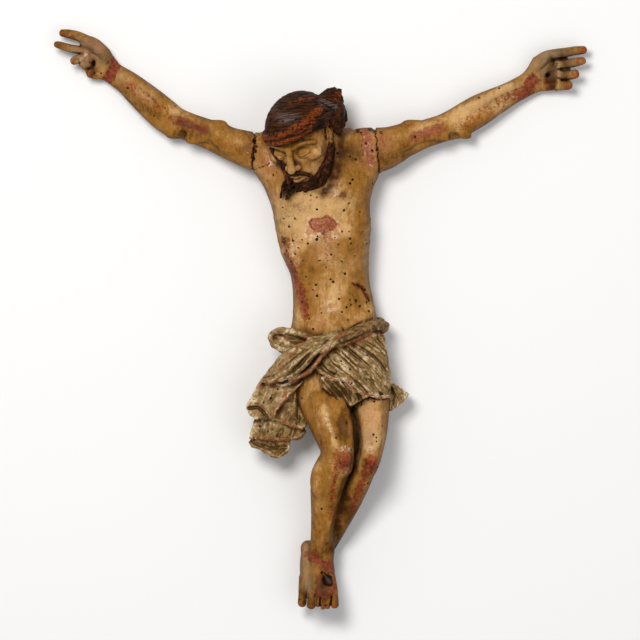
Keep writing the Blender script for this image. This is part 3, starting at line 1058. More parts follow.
LEFT_ARM = {
    "whole": [
        (343, 156, 28, 20, 21), (355, 155, 28, 21, 21), (362, 152, 28, 24, 21), (380, 149.5, 27, 22, 20.5),
        (391, 146, 25.5, 19.6, 19), (400, 142, 24, 17.6, 17.5), (411, 138.6, 22.4, 15.6, 16),
        (420, 135.4, 21, 14.4, 15), (432, 131.4, 19.5, 13.8, 14.4), (444, 127.6, 18, 14, 14),
        (457, 122.6, 17, 15.4, 13.8), (470, 115.6, 16, 16, 13.5), (481, 109, 15, 15.6, 12.6),
        (490, 104, 14, 14.4, 12), (508, 94.5, 12, 12, 10), (520, 88, 11, 11.4, 9.2),
        (531, 82, 10, 11.6, 8.5), (539, 77, 9, 12, 8),
    ],
    "muscles": (
        ((426, 131, 31), (24, 7.5, 6), 20, 8), ((398, 139, 37), (15, 10, 6), 18, 8),
        ((462, 133, 24), (10, 4.5, 6), 24, 6),
    ),
    "upper_groove": [(400, 152, 38), (418, 146, 34), (440, 140, 30), (456, 134, 27)],
    "forearm_muscles": (
        [(470, 106, 26, 4, 5), (490, 95.5, 23, 4, 4), (512, 84.5, 19, 2.6, 3)],
        [(474, 122, 25, 4, 5), (494, 109, 22, 4, 4), (514, 96, 18, 2.4, 3)],
    ),
    "forearm_groove": [(470, 115, 29), (490, 103, 25), (508, 93, 20.5)],
    "wrist_tendons": (
        [(520, 84, 18.6, 1.4, 2), (534, 75.5, 17, 1.2, 2)],
        [(521, 90, 18.6, 1.4, 2), (535, 82, 17, 1.2, 2)],
    ),
    "palm": [
        (532, 81, 9.5, 11.8, 8), (540, 75.5, 9.5, 14.5, 7.6), (549, 72, 9.5, 17, 7), (557, 71.5, 10, 16, 6),
    ],
    "palm_mounds": (
        [(532, 71, 12, 5.4, 6), (537, 64.6, 15, 6.6, 6.4), (543, 59.4, 16.4, 6, 6),
         (549, 57, 16.4, 4.6, 5)],
        [(539, 86, 12, 4.6, 5), (548, 85.6, 13.4, 5, 5.6), (557, 85, 13, 4.4, 5)],
    ),
    "palm_line": [(556, 58, 20), (550, 61, 20), (546.6, 66, 19.4), (543, 74, 18)],
    "palm_folds": ([(563.6, 58.6, 20), (563.4, 68, 18), (563, 78, 18), (562.4, 88, 16)],),
    "finger_ridges": (62, 67, 71.6, 76, 80.4, 84.6, 88),
    "palm_hollow": ((548, 74, 17.6), (6.5, 6.5, 3)),
    "knuckles": [
        (562, 58, 9.6, 6.4, 5), (566.4, 69, 9.6, 4.8, 5), (565, 80, 9.6, 5, 5), (561, 86, 9, 4, 4),
    ],
    "knuckle_blend": 1.5,
    "fingers": (
        [(538, 62, 14, 6.4, 5.8), (546, 56, 17.6, 5.4, 5), (556, 53.2, 18.6, 4.6, 4.5),
         (566, 52, 17.8, 4.7, 4.4), (576, 50.4, 17, 4.5, 4), (584, 49.6, 16.4, 4, 3.4)],
        [(557, 62.8, 12, 4.8, 5), (564.6, 63.4, 16, 4.4, 4.3), (571, 63, 18.6, 4.5, 4.2),
         (577, 61.8, 19.4, 4.4, 3.9), (583, 60.6, 18.6, 3.8, 3.3)],
        [(558, 73.8, 12, 4.6, 5), (565, 75, 17, 4.3, 4.3), (570.6, 74.8, 20.4, 4.7, 4),
         (576, 73.8, 21.4, 4.6, 3.6)],
        [(557.5, 84, 12, 4.6, 5), (562.6, 85, 17, 4.6, 4.2), (567, 85.2, 20, 4.7, 3.8),
         (569.4, 84.8, 22, 4.3, 3.4)],
        [(548, 85.4, 8, 4, 4.4), (557, 86.2, 9, 3.6, 4), (564, 86.6, 10.6, 3.2, 3.4)],
    ),
    "creases": (
        [(562, 47.4, 20.4), (562.4, 51.4, 22.4), (562.4, 55.2, 20.4)],
        [(548.6, 51.6, 20.6), (550.4, 55.4, 22.8), (552, 59, 20.6)],
        [(563.6, 59.6, 19), (564.2, 63.2, 20.6), (563.8, 66.8, 19)],
        [(574, 58.6, 21), (574.6, 62, 22.8), (574, 65.4, 21)],
        [(566.4, 71.6, 20.4), (567, 75, 22.4), (566.4, 78.4, 20.4)],
        [(553, 57, 19.6), (547.6, 63.4, 19.6), (545, 70.6, 18.4)],
        [(543, 80, 18.4), (550, 79.6, 17.8), (556, 78, 17.6)],
        [(528.6, 74, 17.6), (531.6, 80.5, 18.8), (534.6, 89, 17)],
        [(532, 72, 17), (535, 79, 18.6), (538, 88, 17)],
    ),
    "thumb_webs": (),
    "nail_hole": [(553, 79, -6, 1.3, 1.3), (543.4, 70.6, 33, 3.2, 3.2)],
    "hole_blend": 0.8,
}


def carve_arm(block, arm):
    block.limb(arm["whole"], 3)
    for muscle in arm["muscles"]:
        block.ball(*muscle)
    block.score(arm["upper_groove"], 3, 1.6)
    for muscle in arm["forearm_muscles"]:
        block.limb(muscle, 6)
    block.score(arm["forearm_groove"], 2.6, 0.7)
    for tendon in arm["wrist_tendons"]:
        block.limb(tendon, 1.5)
    block.limb(arm["palm"], 2.5)
    for swelling in arm["palm_mounds"]:
        block.limb(swelling, 2)
    block.score(arm["palm_line"], 1.5, 1.5)
    for crease in arm["palm_folds"]:
        block.score(crease, 1.2, 1.6)
    block.ball(*arm["palm_hollow"], blend=3, hollow=True)
    for down in arm["finger_ridges"]:
        block.ball((559 - 0.012 * (down - 75) ** 2, down, 15.6), (3, 2.8, 3.6), blend=0.5)
        block.score([(555, down + 2.3, 18), (562.6, down + 2.3, 18)], 0.9, 1.7)
    block.limb(arm["knuckles"], arm["knuckle_blend"])
    for finger in arm["fingers"]:
        block.limb(finger, 0.8)
    for crease in arm["creases"]:
        block.score(crease, 0.8, 0.8)
    for web in arm["thumb_webs"]:
        block.limb(web, 1.6)
    block.limb(arm["nail_hole"], arm["hole_blend"], hollow=True)


# Joining the body
# Head, hair, trunk, cloth and legs are one length of wood, so their forms are joined to one piece.
# Its back is planed flat at the level where it lay against the upright.
def planed(block):
    block.cut_off((0, 0, 0), (0, 0, -1), soft=0.3)
    return block


FLESH_CELL = 0.75
CLOTH_CELL = 0.65
HEAD_CELL = 0.5
flesh_block = Block((236, 100, -3), (414, 618, 94), FLESH_CELL)
carve_trunk(flesh_block)
carve_arm(flesh_block, RIGHT_ARM)
carve_arm(flesh_block, LEFT_ARM)
open_cracks(flesh_block)
carve_neck(flesh_block)
flesh_block.cut_off(*seam_plane(RIGHT_SEAM, -1), above=SEAM_FOOT)
flesh_block.cut_off(*seam_plane(LEFT_SEAM, 1), above=SEAM_FOOT)
carve_legs(flesh_block)
carve_feet(flesh_block)
cloth_block = Block((238, 308, -3), (414, 466, 94), CLOTH_CELL)
carve_cloth(cloth_block)
head_block = Block((-48, -26, -56), (52, 104, 62), HEAD_CELL)
carve_head(head_block)
hair_block = Block((-52, -36, -60), (58, 104, 66), HEAD_CELL)
carve_hair(hair_block)
planed(flesh_block)
planed(cloth_block)


def head_place(points):
    return in_metres(from_head(points))


# Old paint
# The wood was primed with white gesso and painted: flesh in oil, dark hair and a pale cloth. The
# paint has yellowed, worn through at the high places and gathered dirt in the low ones.
class Bench:
    def __init__(self, tree):
        self.tree = tree

    def put(self, kind, inputs=(), **settings):
        node = self.tree.nodes.new(kind)
        for name, value in settings.items():
            setattr(node, name, value)
        for name, value in dict(inputs).items():
            if isinstance(value, bpy.types.NodeSocket):
                self.tree.links.new(value, node.inputs[name])
            else:
                node.inputs[name].default_value = value
        return node

    def place(self):
        return self.put("ShaderNodeTexCoord").outputs["Object"]

    def stretched(self, scale):
        return self.put("ShaderNodeMapping", {"Vector": self.place(), "Scale": scale}).outputs["Vector"]

    def noise(self, scale, detail=3, rough=0.55, vector=None, twist=0.0):
        inputs = {"Vector": vector or self.place(), "Scale": scale, "Detail": detail, "Roughness": rough,
                  "Distortion": twist}
        return self.put("ShaderNodeTexNoise", inputs).outputs["Fac"]

    def mask(self, name):
        return self.put("ShaderNodeAttribute", attribute_name=name).outputs["Fac"]

    def math(self, kind, a, b, clamp=False):
        return self.put("ShaderNodeMath", {0: a, 1: b}, operation=kind, use_clamp=clamp).outputs[0]

    def ease(self, value, low, high, start=0.0, end=1.0):
        inputs = {"Value": value, "From Min": low, "From Max": high, "To Min": start, "To Max": end}
        return self.put("ShaderNodeMapRange", inputs, interpolation_type="SMOOTHSTEP").outputs["Result"]

    def mix(self, share, a, b):
        return self.put("ShaderNodeMix", {"Factor": share, 6: a, 7: b}, data_type="RGBA").outputs[2]

    def group(self, tree, **inputs):
        node = self.put("ShaderNodeGroup", node_tree=tree)
        for name, value in inputs.items():
            socket = node.inputs[name.replace("_", " ").capitalize()]
            if isinstance(value, bpy.types.NodeSocket):
                self.tree.links.new(value, socket)
            else:
                socket.default_value = value
        return node.outputs


def hue(red, green, blue):
    return tuple(((c / 255 + 0.055) / 1.055) ** 2.4 if c > 10 else c / 255 / 12.92
                 for c in (red, green, blue)) + (1.0,)


def effect(name, inputs, outputs):
    tree = bpy.data.node_groups.new(name, "ShaderNodeTree")
    for label, kind, value in inputs:
        socket = tree.interface.new_socket(label, in_out="INPUT", socket_type="NodeSocket" + kind)
        socket.default_value = value
    for label, kind in outputs:
        tree.interface.new_socket(label, in_out="OUTPUT", socket_type="NodeSocket" + kind)
    bench = Bench(tree)
    return bench, bench.put("NodeGroupInput").outputs, bench.put("NodeGroupOutput").inputs


bench, given, result = effect(
    "ragged patch", [("Mask", "Float", 0), ("Scale", "Float", 400), ("Ragged", "Float", 0.8),
                     ("Thin", "Float", 0.3)], [("Mask", "Float")])
broad_edge = bench.ease(bench.noise(given["Scale"], 4, 0.6), 0.3, 0.7, -1, 1)
fine_edge = bench.noise(bench.math("MULTIPLY", given["Scale"], 3.1), 3, 0.6)
fine_edge = bench.ease(fine_edge, 0.3, 0.7, -0.5, 0.5)
swing = bench.math("MULTIPLY", bench.math("ADD", broad_edge, fine_edge), given["Ragged"])
inside = bench.ease(bench.math("MULTIPLY", given["Mask"], bench.math("ADD", swing, 1.0)), 0.34, 0.56)
rubbed_thin = bench.ease(bench.noise(bench.math("MULTIPLY", given["Scale"], 1.7), 3), 0.38, 0.62)
kept = bench.math("SUBTRACT", 1.0, bench.math("MULTIPLY", rubbed_thin, given["Thin"]))
bench.tree.links.new(bench.math("MULTIPLY", inside, kept, True), result["Mask"])
RAGGED = bench.tree

bench, given, result = effect(
    "gathered dirt", [("Colour", "Color", (0.5, 0.5, 0.5, 1)), ("Recess", "Float", 0),
                      ("Dirt", "Color", (0.03, 0.02, 0.01, 1)), ("Amount", "Float", 0.8)],
    [("Colour", "Color"), ("Mask", "Float")])
cloud = bench.ease(bench.noise(260, 4, 0.6), 0.3, 0.75, 0.55, 1.25)
held = bench.math("MULTIPLY", bench.math("MULTIPLY", given["Recess"], cloud), given["Amount"], True)
bench.tree.links.new(bench.mix(held, given["Colour"], given["Dirt"]), result["Colour"])
bench.tree.links.new(held, result["Mask"])
DIRT = bench.tree

bench, given, result = effect(
    "old crazing", [("Scale", "Float", 700)], [("Height", "Float"), ("Mask", "Float")])
shift = bench.put("ShaderNodeTexNoise",
                  {"Vector": bench.place(), "Scale": 320, "Detail": 2}).outputs["Color"]
shift = bench.put("ShaderNodeVectorMath", {0: shift, "Scale": 0.003}, operation="SCALE").outputs[0]
warp = bench.put("ShaderNodeVectorMath", {0: bench.place(), 1: shift}, operation="ADD").outputs[0]
cells = bench.put("ShaderNodeTexVoronoi", {"Vector": warp, "Scale": given["Scale"]},
                  feature="DISTANCE_TO_EDGE").outputs["Distance"]
crack = bench.math("MULTIPLY", bench.ease(cells, 0.0, 0.06, 1.0, 0.0),
                   bench.ease(bench.noise(70, 3), 0.5, 0.64), True)
bench.tree.links.new(crack, result["Mask"])
bench.tree.links.new(bench.math("SUBTRACT", bench.noise(900, 4, 0.6), crack), result["Height"])
CRAZING = bench.tree

bench, given, result = effect(
    "bare softwood", [("Light", "Color", (0.5, 0.3, 0.1, 1)), ("Dark", "Color", (0.2, 0.1, 0.04, 1)),
                      ("Scale", "Float", 90)],
    [("Colour", "Color"), ("Height", "Float")])
grain = bench.noise(given["Scale"], 4, 0.6, bench.stretched((9, 1, 9)), 0.4)
bench.tree.links.new(bench.mix(bench.ease(grain, 0.35, 0.65), given["Dark"], given["Light"]),
                     result["Colour"])
bench.tree.links.new(grain, result["Height"])
SOFTWOOD = bench.tree


def painted(name):
    material = bpy.data.materials.new(name)
    material.use_nodes = True
    return material, Bench(material.node_tree), material.node_tree.nodes["Principled BSDF"]


def finish_paint(bench, shader, colour, roughness, height, strength, reach=0.0004):
    bump = bench.put("ShaderNodeBump", {"Height": height, "Strength": strength, "Distance": reach})
    for value, socket in ((colour, "Base Color"), (roughness, "Roughness"),
                          (bump.outputs["Normal"], "Normal")):
        bench.tree.links.new(value, shader.inputs[socket])


OCHRE = hue(152, 104, 42)
STRAW = hue(204, 162, 106)
OLIVE = hue(94, 58, 12)
ROSE = hue(178, 116, 82)
UMBER = hue(64, 34, 5)
GESSO = hue(216, 186, 152)
BLOOD = hue(134, 50, 26)
BLOOD_DARK = hue(80, 30, 16)
LOST_RED = hue(132, 58, 40)
WOOD_LIGHT = hue(168, 84, 36)
WOOD_DARK = hue(104, 46, 18)
SOOT = hue(40, 22, 7)

flesh_paint, bench, shader = painted("flesh_paint")
tone = bench.math("ADD", bench.mask("tone"), bench.ease(bench.noise(48, 4, 0.55), 0.3, 0.7, -0.16, 0.16))
tone = bench.math("ADD", tone, bench.ease(bench.noise(260, 5, 0.7), 0.3, 0.7, -0.1, 0.1))
brushed = bench.noise(1.0, 4, 0.6, bench.stretched((420, 90, 420)), 0.3)
tone = bench.math("ADD", tone, bench.ease(brushed, 0.3, 0.7, -0.09, 0.09))
skin = bench.mix(bench.ease(tone, 0.1, 0.5), OLIVE, OCHRE)
skin = bench.mix(bench.ease(tone, 0.46, 0.96), skin, STRAW)
blush = bench.math("ADD", bench.mask("rose"),
                   bench.ease(bench.noise(95, 4, 0.6, twist=0.8), 0.54, 0.74, 0, 0.6), True)
skin = bench.mix(bench.math("MULTIPLY", blush, bench.ease(bench.noise(300, 4), 0.3, 0.65, 0.35, 1)), skin,
                 ROSE)
speck = bench.ease(bench.noise(640, 2, 0.5), 0.64, 0.74)
skin = bench.mix(bench.math("MULTIPLY", speck, 0.5), skin, hue(96, 58, 26))
greyed = bench.math("MULTIPLY", bench.ease(bench.mask("faded"), 0.5, 1.0),
                    bench.ease(bench.noise(140, 4), 0.3, 0.65, 0.5, 1))
skin = bench.mix(greyed, skin, hue(158, 132, 98))
primer = bench.group(RAGGED, mask=bench.mask("gesso"), scale=330.0, ragged=0.8, thin=0.5)["Mask"]
skin = bench.mix(primer, skin, bench.mix(bench.ease(bench.noise(300, 3), 0.4, 0.6), GESSO, ROSE))
lost = bench.group(RAGGED, mask=bench.mask("lost"), scale=420.0, ragged=0.5, thin=0.35)["Mask"]
skin = bench.mix(lost, skin, bench.mix(bench.ease(bench.noise(340, 4, 0.6), 0.38, 0.62), LOST_RED,
                                       hue(152, 88, 64)))
bare = bench.group(RAGGED, mask=bench.mask("wear"), scale=340.0, ragged=0.8, thin=0.3)["Mask"]
timber = bench.group(SOFTWOOD, light=WOOD_LIGHT, dark=WOOD_DARK, scale=110.0)
skin = bench.mix(bench.math("MULTIPLY", bare, 0.85), skin, timber["Colour"])
run = bench.group(RAGGED, mask=bench.mask("blood"), scale=230.0, ragged=0.6, thin=0.45)["Mask"]
skin = bench.mix(bench.math("MULTIPLY", run, 0.85), skin,
                 bench.mix(bench.ease(bench.noise(330, 5, 0.65), 0.4, 0.62), BLOOD, BLOOD_DARK))
stain = bench.math("MULTIPLY", bench.mask("brown"), bench.ease(bench.noise(170, 4), 0.3, 0.6, 0.55, 1),
                   True)
skin = bench.mix(stain, skin, UMBER)
grime = bench.math("MULTIPLY", bench.mask("shade"),
                   bench.ease(bench.noise(150, 5, 0.6), 0.3, 0.7, 0.45, 1.1), True)
skin = bench.mix(grime, skin, UMBER)
film = bench.group(DIRT, colour=skin, recess=bench.mask("hollow"), dirt=UMBER, amount=0.8)
dusty = bench.group(DIRT, colour=film["Colour"], recess=bench.mask("recess"), dirt=SOOT, amount=1.0)
crazed = bench.group(CRAZING, scale=420.0)
skin = bench.mix(bench.math("MULTIPLY", crazed["Mask"], 0.5), dusty["Colour"], hue(62, 40, 20))
split = bench.group(RAGGED, mask=bench.mask("crack"), scale=620.0, ragged=0.8, thin=0.1)["Mask"]
skin = bench.mix(split, skin, SOOT)
gloss = bench.ease(bench.math("ADD", bench.noise(60, 3), bench.math("MULTIPLY", bare, 0.2)), 0.3, 0.8, 0.4,
                   0.68)
finish_paint(bench, shader, skin, gloss,
             bench.math("SUBTRACT", crazed["Height"], bench.math("MULTIPLY", bare, 0.5)), 0.35)
shader.inputs["Specular IOR Level"].default_value = 0.08

hair_paint, bench, shader = painted("hair_paint")
combed = bench.put("ShaderNodeMapping",
                   {"Vector": bench.place(), "Rotation": (0, 0, -0.14)}).outputs["Vector"]
combed = bench.put("ShaderNodeMapping", {"Vector": combed, "Scale": (90, 1500, 90)}).outputs["Vector"]
strand = bench.ease(bench.noise(1.0, 3, 0.55, combed, 0.3), 0.35, 0.65)
strand = bench.mix(bench.mask("combed"), bench.ease(bench.noise(420, 4, 0.65), 0.36, 0.64), strand)
locks = bench.mix(bench.ease(bench.noise(120, 4, 0.6), 0.35, 0.65), hue(28, 13, 4), hue(58, 29, 11))
locks = bench.mix(bench.math("MULTIPLY", bench.ease(strand, 0.55, 0.95), 0.28), locks, hue(122, 70, 40))
bare = bench.group(RAGGED, mask=bench.mask("wear"), scale=240.0, ragged=0.7, thin=0.45)["Mask"]
timber = bench.group(SOFTWOOD, light=hue(170, 80, 28), dark=hue(92, 39, 13), scale=160.0)
dulled = bench.math("MULTIPLY", bench.ease(bench.mask("faded"), 0.55, 0.9),
                    bench.ease(strand, 0.3, 0.8, 0.15, 0.7))
locks = bench.mix(dulled, locks, hue(112, 96, 92))
locks = bench.mix(bench.math("MULTIPLY", bare, bench.ease(strand, 0.2, 0.7, 0.6, 0.92)), locks,
                  timber["Colour"])
locks = bench.mix(bench.ease(strand, 0.0, 0.45, 0.5, 0.0), locks, hue(26, 12, 5))
dusty = bench.group(DIRT, colour=locks, recess=bench.mask("recess"), dirt=hue(18, 10, 5), amount=1.1)
finish_paint(bench, shader, dusty["Colour"], bench.ease(bench.noise(90, 3), 0.3, 0.7, 0.45, 0.7), strand,
             0.45)
shader.inputs["Specular IOR Level"].default_value = 0.05

cloth_paint, bench, shader = painted("cloth_paint")
crumple = bench.noise(150, 5, 0.62, twist=1.6)
threads = bench.put("ShaderNodeAttribute", attribute_name="folds").outputs["Vector"]
stroke = bench.noise(1.0, 4, 0.6,
                     bench.put("ShaderNodeMapping",
                               {"Vector": threads, "Scale": (0.22, 0.045, 1)}).outputs["Vector"], 0.8)
pale = bench.math("ADD", bench.ease(stroke, 0.3, 0.7, -0.22, 0.22),
                  bench.ease(crumple, 0.3, 0.7, -0.26, 0.26))
pale = bench.math("ADD", pale, bench.math("MULTIPLY", bench.mask("ridge"), 0.5))
pale = bench.math("ADD", pale, bench.math("MULTIPLY", bench.mask("hollow"), -0.36))
pale = bench.math("ADD", pale, bench.mask("faded"))
linen = bench.mix(bench.ease(pale, 0.1, 0.5), hue(76, 52, 16), hue(142, 112, 66))
linen = bench.mix(bench.ease(pale, 0.5, 0.95), linen, hue(214, 194, 158))
russet = bench.math("MULTIPLY", bench.ease(bench.noise(110, 5, 0.65, twist=1.2), 0.56, 0.68),
                    bench.ease(bench.noise(380, 4), 0.35, 0.6, 0.3, 1))
linen = bench.mix(bench.math("MULTIPLY", russet, 0.7), linen, hue(146, 84, 50))
linen = bench.mix(bench.ease(bench.noise(520, 3, 0.6), 0.58, 0.72, 0, 0.5), linen, hue(84, 60, 30))
edges = bench.math("MAXIMUM", bench.math("MULTIPLY", bench.mask("ridge"), 0.5), bench.mask("wear"))
worn = bench.group(RAGGED, mask=edges, scale=230.0, ragged=0.9, thin=0.35)["Mask"]
timber = bench.group(SOFTWOOD, light=hue(168, 92, 48), dark=hue(100, 50, 24), scale=110.0)
linen = bench.mix(bench.math("MULTIPLY", worn, 0.85), linen, timber["Colour"])
film = bench.group(DIRT, colour=linen, recess=bench.mask("hollow"), dirt=hue(84, 58, 22), amount=0.8)
dusty = bench.group(DIRT, colour=film["Colour"], recess=bench.mask("recess"), dirt=hue(50, 32, 12),
                    amount=1.1)
crazed = bench.group(CRAZING, scale=420.0)
folded = bench.math("ADD", bench.math("MULTIPLY", crumple, 2.2),
                    bench.math("MULTIPLY", crazed["Height"], 0.3))
finish_paint(bench, shader, dusty["Colour"], bench.ease(bench.noise(60, 3), 0.3, 0.8, 0.55, 0.8), folded,
             0.4, 0.0006)
shader.inputs["Specular IOR Level"].default_value = 0.2

tunnel_wood, bench, shader = painted("tunnel_wood")
timber = bench.group(SOFTWOOD, light=hue(58, 34, 18), dark=hue(26, 14, 9), scale=300.0)
finish_paint(bench, shader, timber["Colour"], bench.ease(timber["Height"], 0.3, 0.7, 0.75, 0.95),
             timber["Height"], 0.4)

FLESH, HAIR, CLOTH, TUNNEL = range(4)
PAINTS = (flesh_paint, hair_paint, cloth_paint, tunnel_wood)


def coat(piece, paint):
    piece.data.materials.clear()
    for material in PAINTS:
        piece.data.materials.append(material)
    piece.data.polygons.foreach_set("material_index", np.full(len(piece.data.polygons), paint, np.int32))
    return piece


def join(piece, other, cut=False):
    step = piece.modifiers.new("join", "BOOLEAN")
    step.operation = "DIFFERENCE" if cut else "UNION"
    step.solver = "MANIFOLD"
    step.object = other
    settle(piece)
    bpy.data.objects.remove(other)


FLESH_FACES = 66000
HEAD_FACES = 24000
CLOTH_FACES = 56000
HAIR_FACES = 46000
body = coat(mesh_of("body_carving", flesh_block, FLESH_FACES), FLESH)
join(body, coat(mesh_of("head_part", head_block, HEAD_FACES, head_place), FLESH))
join(body, coat(mesh_of("cloth_part", cloth_block, CLOTH_FACES), CLOTH))
join(body, coat(mesh_of("hair_part", hair_block, HAIR_FACES, head_place), HAIR))


# Flight holes
# Beetles have left round holes of 1.5 to 2 mm all over the soft wood, thickest on the chest. Their
# tunnels are dark inside.
HOLES = (
    (269, 164), (297, 192), (311, 196), (317, 198), (317, 210), (283, 208), (284, 219), (295, 219),
    (289, 227), (282, 237), (317, 240), (293, 241), (298, 248), (302, 240), (308, 244), (287, 251),
    (295, 254), (303, 261), (291, 262), (320, 261), (331, 255), (326, 268), (306, 277), (345, 274),
    (335, 238), (342, 232), (349, 232), (350, 239), (338, 245), (351, 244), (342, 262), (363, 232),
    (366, 240), (355, 256), (350, 184), (368, 190), (356, 160), (350, 157), (372, 151), (366, 144),
    (349, 204), (344, 211), (360, 212), (297, 291), (313, 290), (317, 296), (316, 285), (302, 302),
    (309, 319), (313, 329), (339, 299), (350, 300), (351, 305), (356, 301), (360, 306), (342, 312),
    (348, 320), (369, 311), (365, 290), (372, 297), (336, 437), (361, 404), (374, 401), (373, 434),
    (376, 437), (362, 440), (351, 449), (278, 389), (271, 398), (260, 426), (268, 431), (254, 437),
    (302, 398), (348, 386), (350, 369), (341, 361), (367, 355), (363, 326), (354, 333), (343, 330),
    (283, 123), (283, 134), (296, 120), (298, 127), (293, 130), (276, 138),
)
ARM_HOLES = ((165, 108), (175, 106), (154, 116), (101, 73), (103, 77), (415, 137))
WIDE_HOLE = (317, 240)
WIDE_RADIUS = 0.0013
HOLE_RADII = (0.0006, 0.00075, 0.0009, 0.001)
HOLE_SPACING = 0.0024
FLAT_BACK = 0.002
TUNNEL_LENGTH = 0.007
TUNNEL_SUNK = 0.0022
DRILL_HEIGHT = 0.2
DRILL_AWAY = 0.3
SIDE_HOLES = 70


# Holes at the given spots of the front view, and more that come at the piece from chance sides
def flight_holes(piece, spots, hidden, seed):
    chance = np.random.default_rng(seed)
    mesh = piece.data
    tree = BVHTree.FromPolygons([v.co for v in mesh.vertices], [p.vertices for p in mesh.polygons])
    down = Vector((0, 0, -1))
    aims = []
    for place in spots:
        start = Vector(in_metres([(*place, 0)])[0]) - down * DRILL_HEIGHT
        aims.append((start, down, place == WIDE_HOLE))
    low, high = (Vector(corner) for corner in (piece.bound_box[0], piece.bound_box[6]))
    for _ in range(hidden):
        start = Vector([chance.uniform(low[i], high[i]) for i in range(3)])
        way = Vector((chance.uniform(-1, 1), chance.uniform(-1, 1), chance.uniform(-0.3, 0.5))).normalized()
        aims.append((start + way * DRILL_AWAY, -way, False))
    bm = bmesh.new()
    made = []
    for start, way, wide in aims:
        spot, normal, *_ = tree.ray_cast(start, way)
        crowded = spot is not None and any((spot - other).length < HOLE_SPACING for other in made)
        if spot is None or spot.z < FLAT_BACK or crowded:
            continue
        made.append(spot)
        lean = Vector([chance.normal(0, 0.18) for _ in range(3)])
        into = (normal + lean).normalized()
        radius = WIDE_RADIUS if wide else chance.choice(HOLE_RADII)
        turn = into.to_track_quat("Z", "Y").to_matrix().to_4x4()
        bmesh.ops.create_cone(bm, cap_ends=True, segments=10, radius1=radius * 0.8, radius2=radius,
                              depth=TUNNEL_LENGTH,
                              matrix=Matrix.Translation(spot - into * TUNNEL_SUNK) @ turn)
    cutter = bpy.data.objects.new("drills", bpy.data.meshes.new("drills"))
    bpy.context.scene.collection.objects.link(cutter)
    bm.to_mesh(cutter.data)
    bm.free()
    join(piece, coat(cutter, TUNNEL), cut=True)


flight_holes(body, HOLES, SIDE_HOLES, 4)


# Pockets that stay shut in where cloth lies over limb are solid wood in a carving
def fill_pockets(piece):
    bm = bmesh.new()
    bm.from_mesh(piece.data)
    left = set(bm.verts)
    shells = []
    while left:
        reached = [left.pop()]
        for vertex in reached:
            for edge in vertex.link_edges:
                other = edge.other_vert(vertex)
                if other in left:
                    left.remove(other)
                    reached.append(other)
        shells.append(reached)
    shells.sort(key=len)
    bmesh.ops.delete(bm, geom=[vertex for shell in shells[:-1] for vertex in shell], context="VERTS")
    bm.to_mesh(piece.data)
    bm.free()


fill_pockets(body)


def places(piece):
    count = len(piece.data.vertices)
    points = np.empty(count * 3, np.float32)
    piece.data.vertices.foreach_get("co", points)
    normals = np.empty(count * 3, np.float32)
    piece.data.vertex_normals.foreach_get("vector", normals)
    points = points.reshape(-1, 3) / PART
    return points * FLIP + (MIDDLE, CHEST, 0), normals.reshape(-1, 3) * FLIP


def mark(piece, name, values):
    layer = piece.data.attributes.new(name, "FLOAT", "POINT")
    layer.data.foreach_set("value", np.clip(values, 0, 1).astype(np.float32))


def hollow_and_ridge(points, normals, blocks):
    def nearest(spots):
        return np.min([block.at(into_head(spots) if local else spots) for block, local in blocks], axis=0)

    fine = 1 - nearest(points + normals * 2.2) / 2.2
    broad = 1 - nearest(points + normals * 7) / 7
    sharp = 1 + nearest(points - normals * 2.6) / 2.6
    return np.clip(fine, 0, 1), np.clip(broad, 0, 1), np.clip(sharp, 0, 1)


# Paint on the body
# The body is painted over its gesso. Masks for the paint come from named places on the front view,
# and from how deep or how high the wood lies. They follow the wear and the blood of the real figure.
BODY_TONE = (
    (0.3, 316, 205, 32, 34), (0.2, 333, 300, 12, 16), (0.3, [(324, 408), (331, 430), (336, 446)], 3.6),
    (0.26, 369, 425, 10, 30), (-0.26, 350, 162, 12, 22), (-0.12, [(352, 215), (356, 255), (352, 300)], 9),
    (-0.2, 305, 285, 14, 30), (-0.1, [(308, 395), (318, 440)], 8), (0.16, 325, 256, 8, 14),
    (0.24, 300, 238, 14, 22), (0.2, 346, 225, 10, 16), (-0.1, 366, 250, 8, 50), (0.2, 332, 305, 9, 9),
    (0.14, 288, 216, 15, 26), (0.46, 370, 441, 8, 12), (0.1, [(367, 232), (366, 262), (369, 290)], 4),
    (0.2, [(294, 285), (296, 320)], 5), (0.12, [(318, 468), (317, 500)], 7),
    (0.1, [(305, 548), (306, 580)], 6),
)
BODY_BROWN = (
    (0.9, 326, 580, 8, 10), (1.0, [(331, 168), (332, 182), (325, 192)], 6), (0.75, 343, 196, 6, 5),
    (0.5, 352, 152, 8, 9), (0.4, [(296, 160), (300, 186), (320, 194)], 5), (0.32, 318, 600, 18, 8),
    (0.5, 322, 588, 6, 8),
)
BODY_BLOOD = (
    (0.95, 285, 241, 6, 5), (0.6, [(285, 243), (287, 255), (290, 265)], 4),
    (0.75, [(290, 265), (296, 277), (302, 290), (305, 302), (307, 321)], 4),
    (0.9, [(338, 468), (335, 478), (331, 500)], 1.7),
    (0.85, [(366, 472), (361, 484), (357, 494), (352, 508)], 4.2), (1.2, 326, 584, 11, 12),
    (0.65, 325, 595, 7, 6), (1.3, 343, 467, 8, 6), (1.5, 370, 466, 7, 6.4),
    (0.95, [(309, 555), (320, 561), (333, 567)], 5), (0.7, 341, 167, 2.4, 3),
    (0.6, [(309, 137), (319, 132), (326, 134)], 3), (0.75, [(356, 286), (363, 289), (367, 298)], 3.4),
)
BODY_ROSE = (
    (0.5, 368, 420, 12, 26), (0.4, 324, 248, 16, 14), (0.7, [(369, 134), (371, 160)], 8),
)
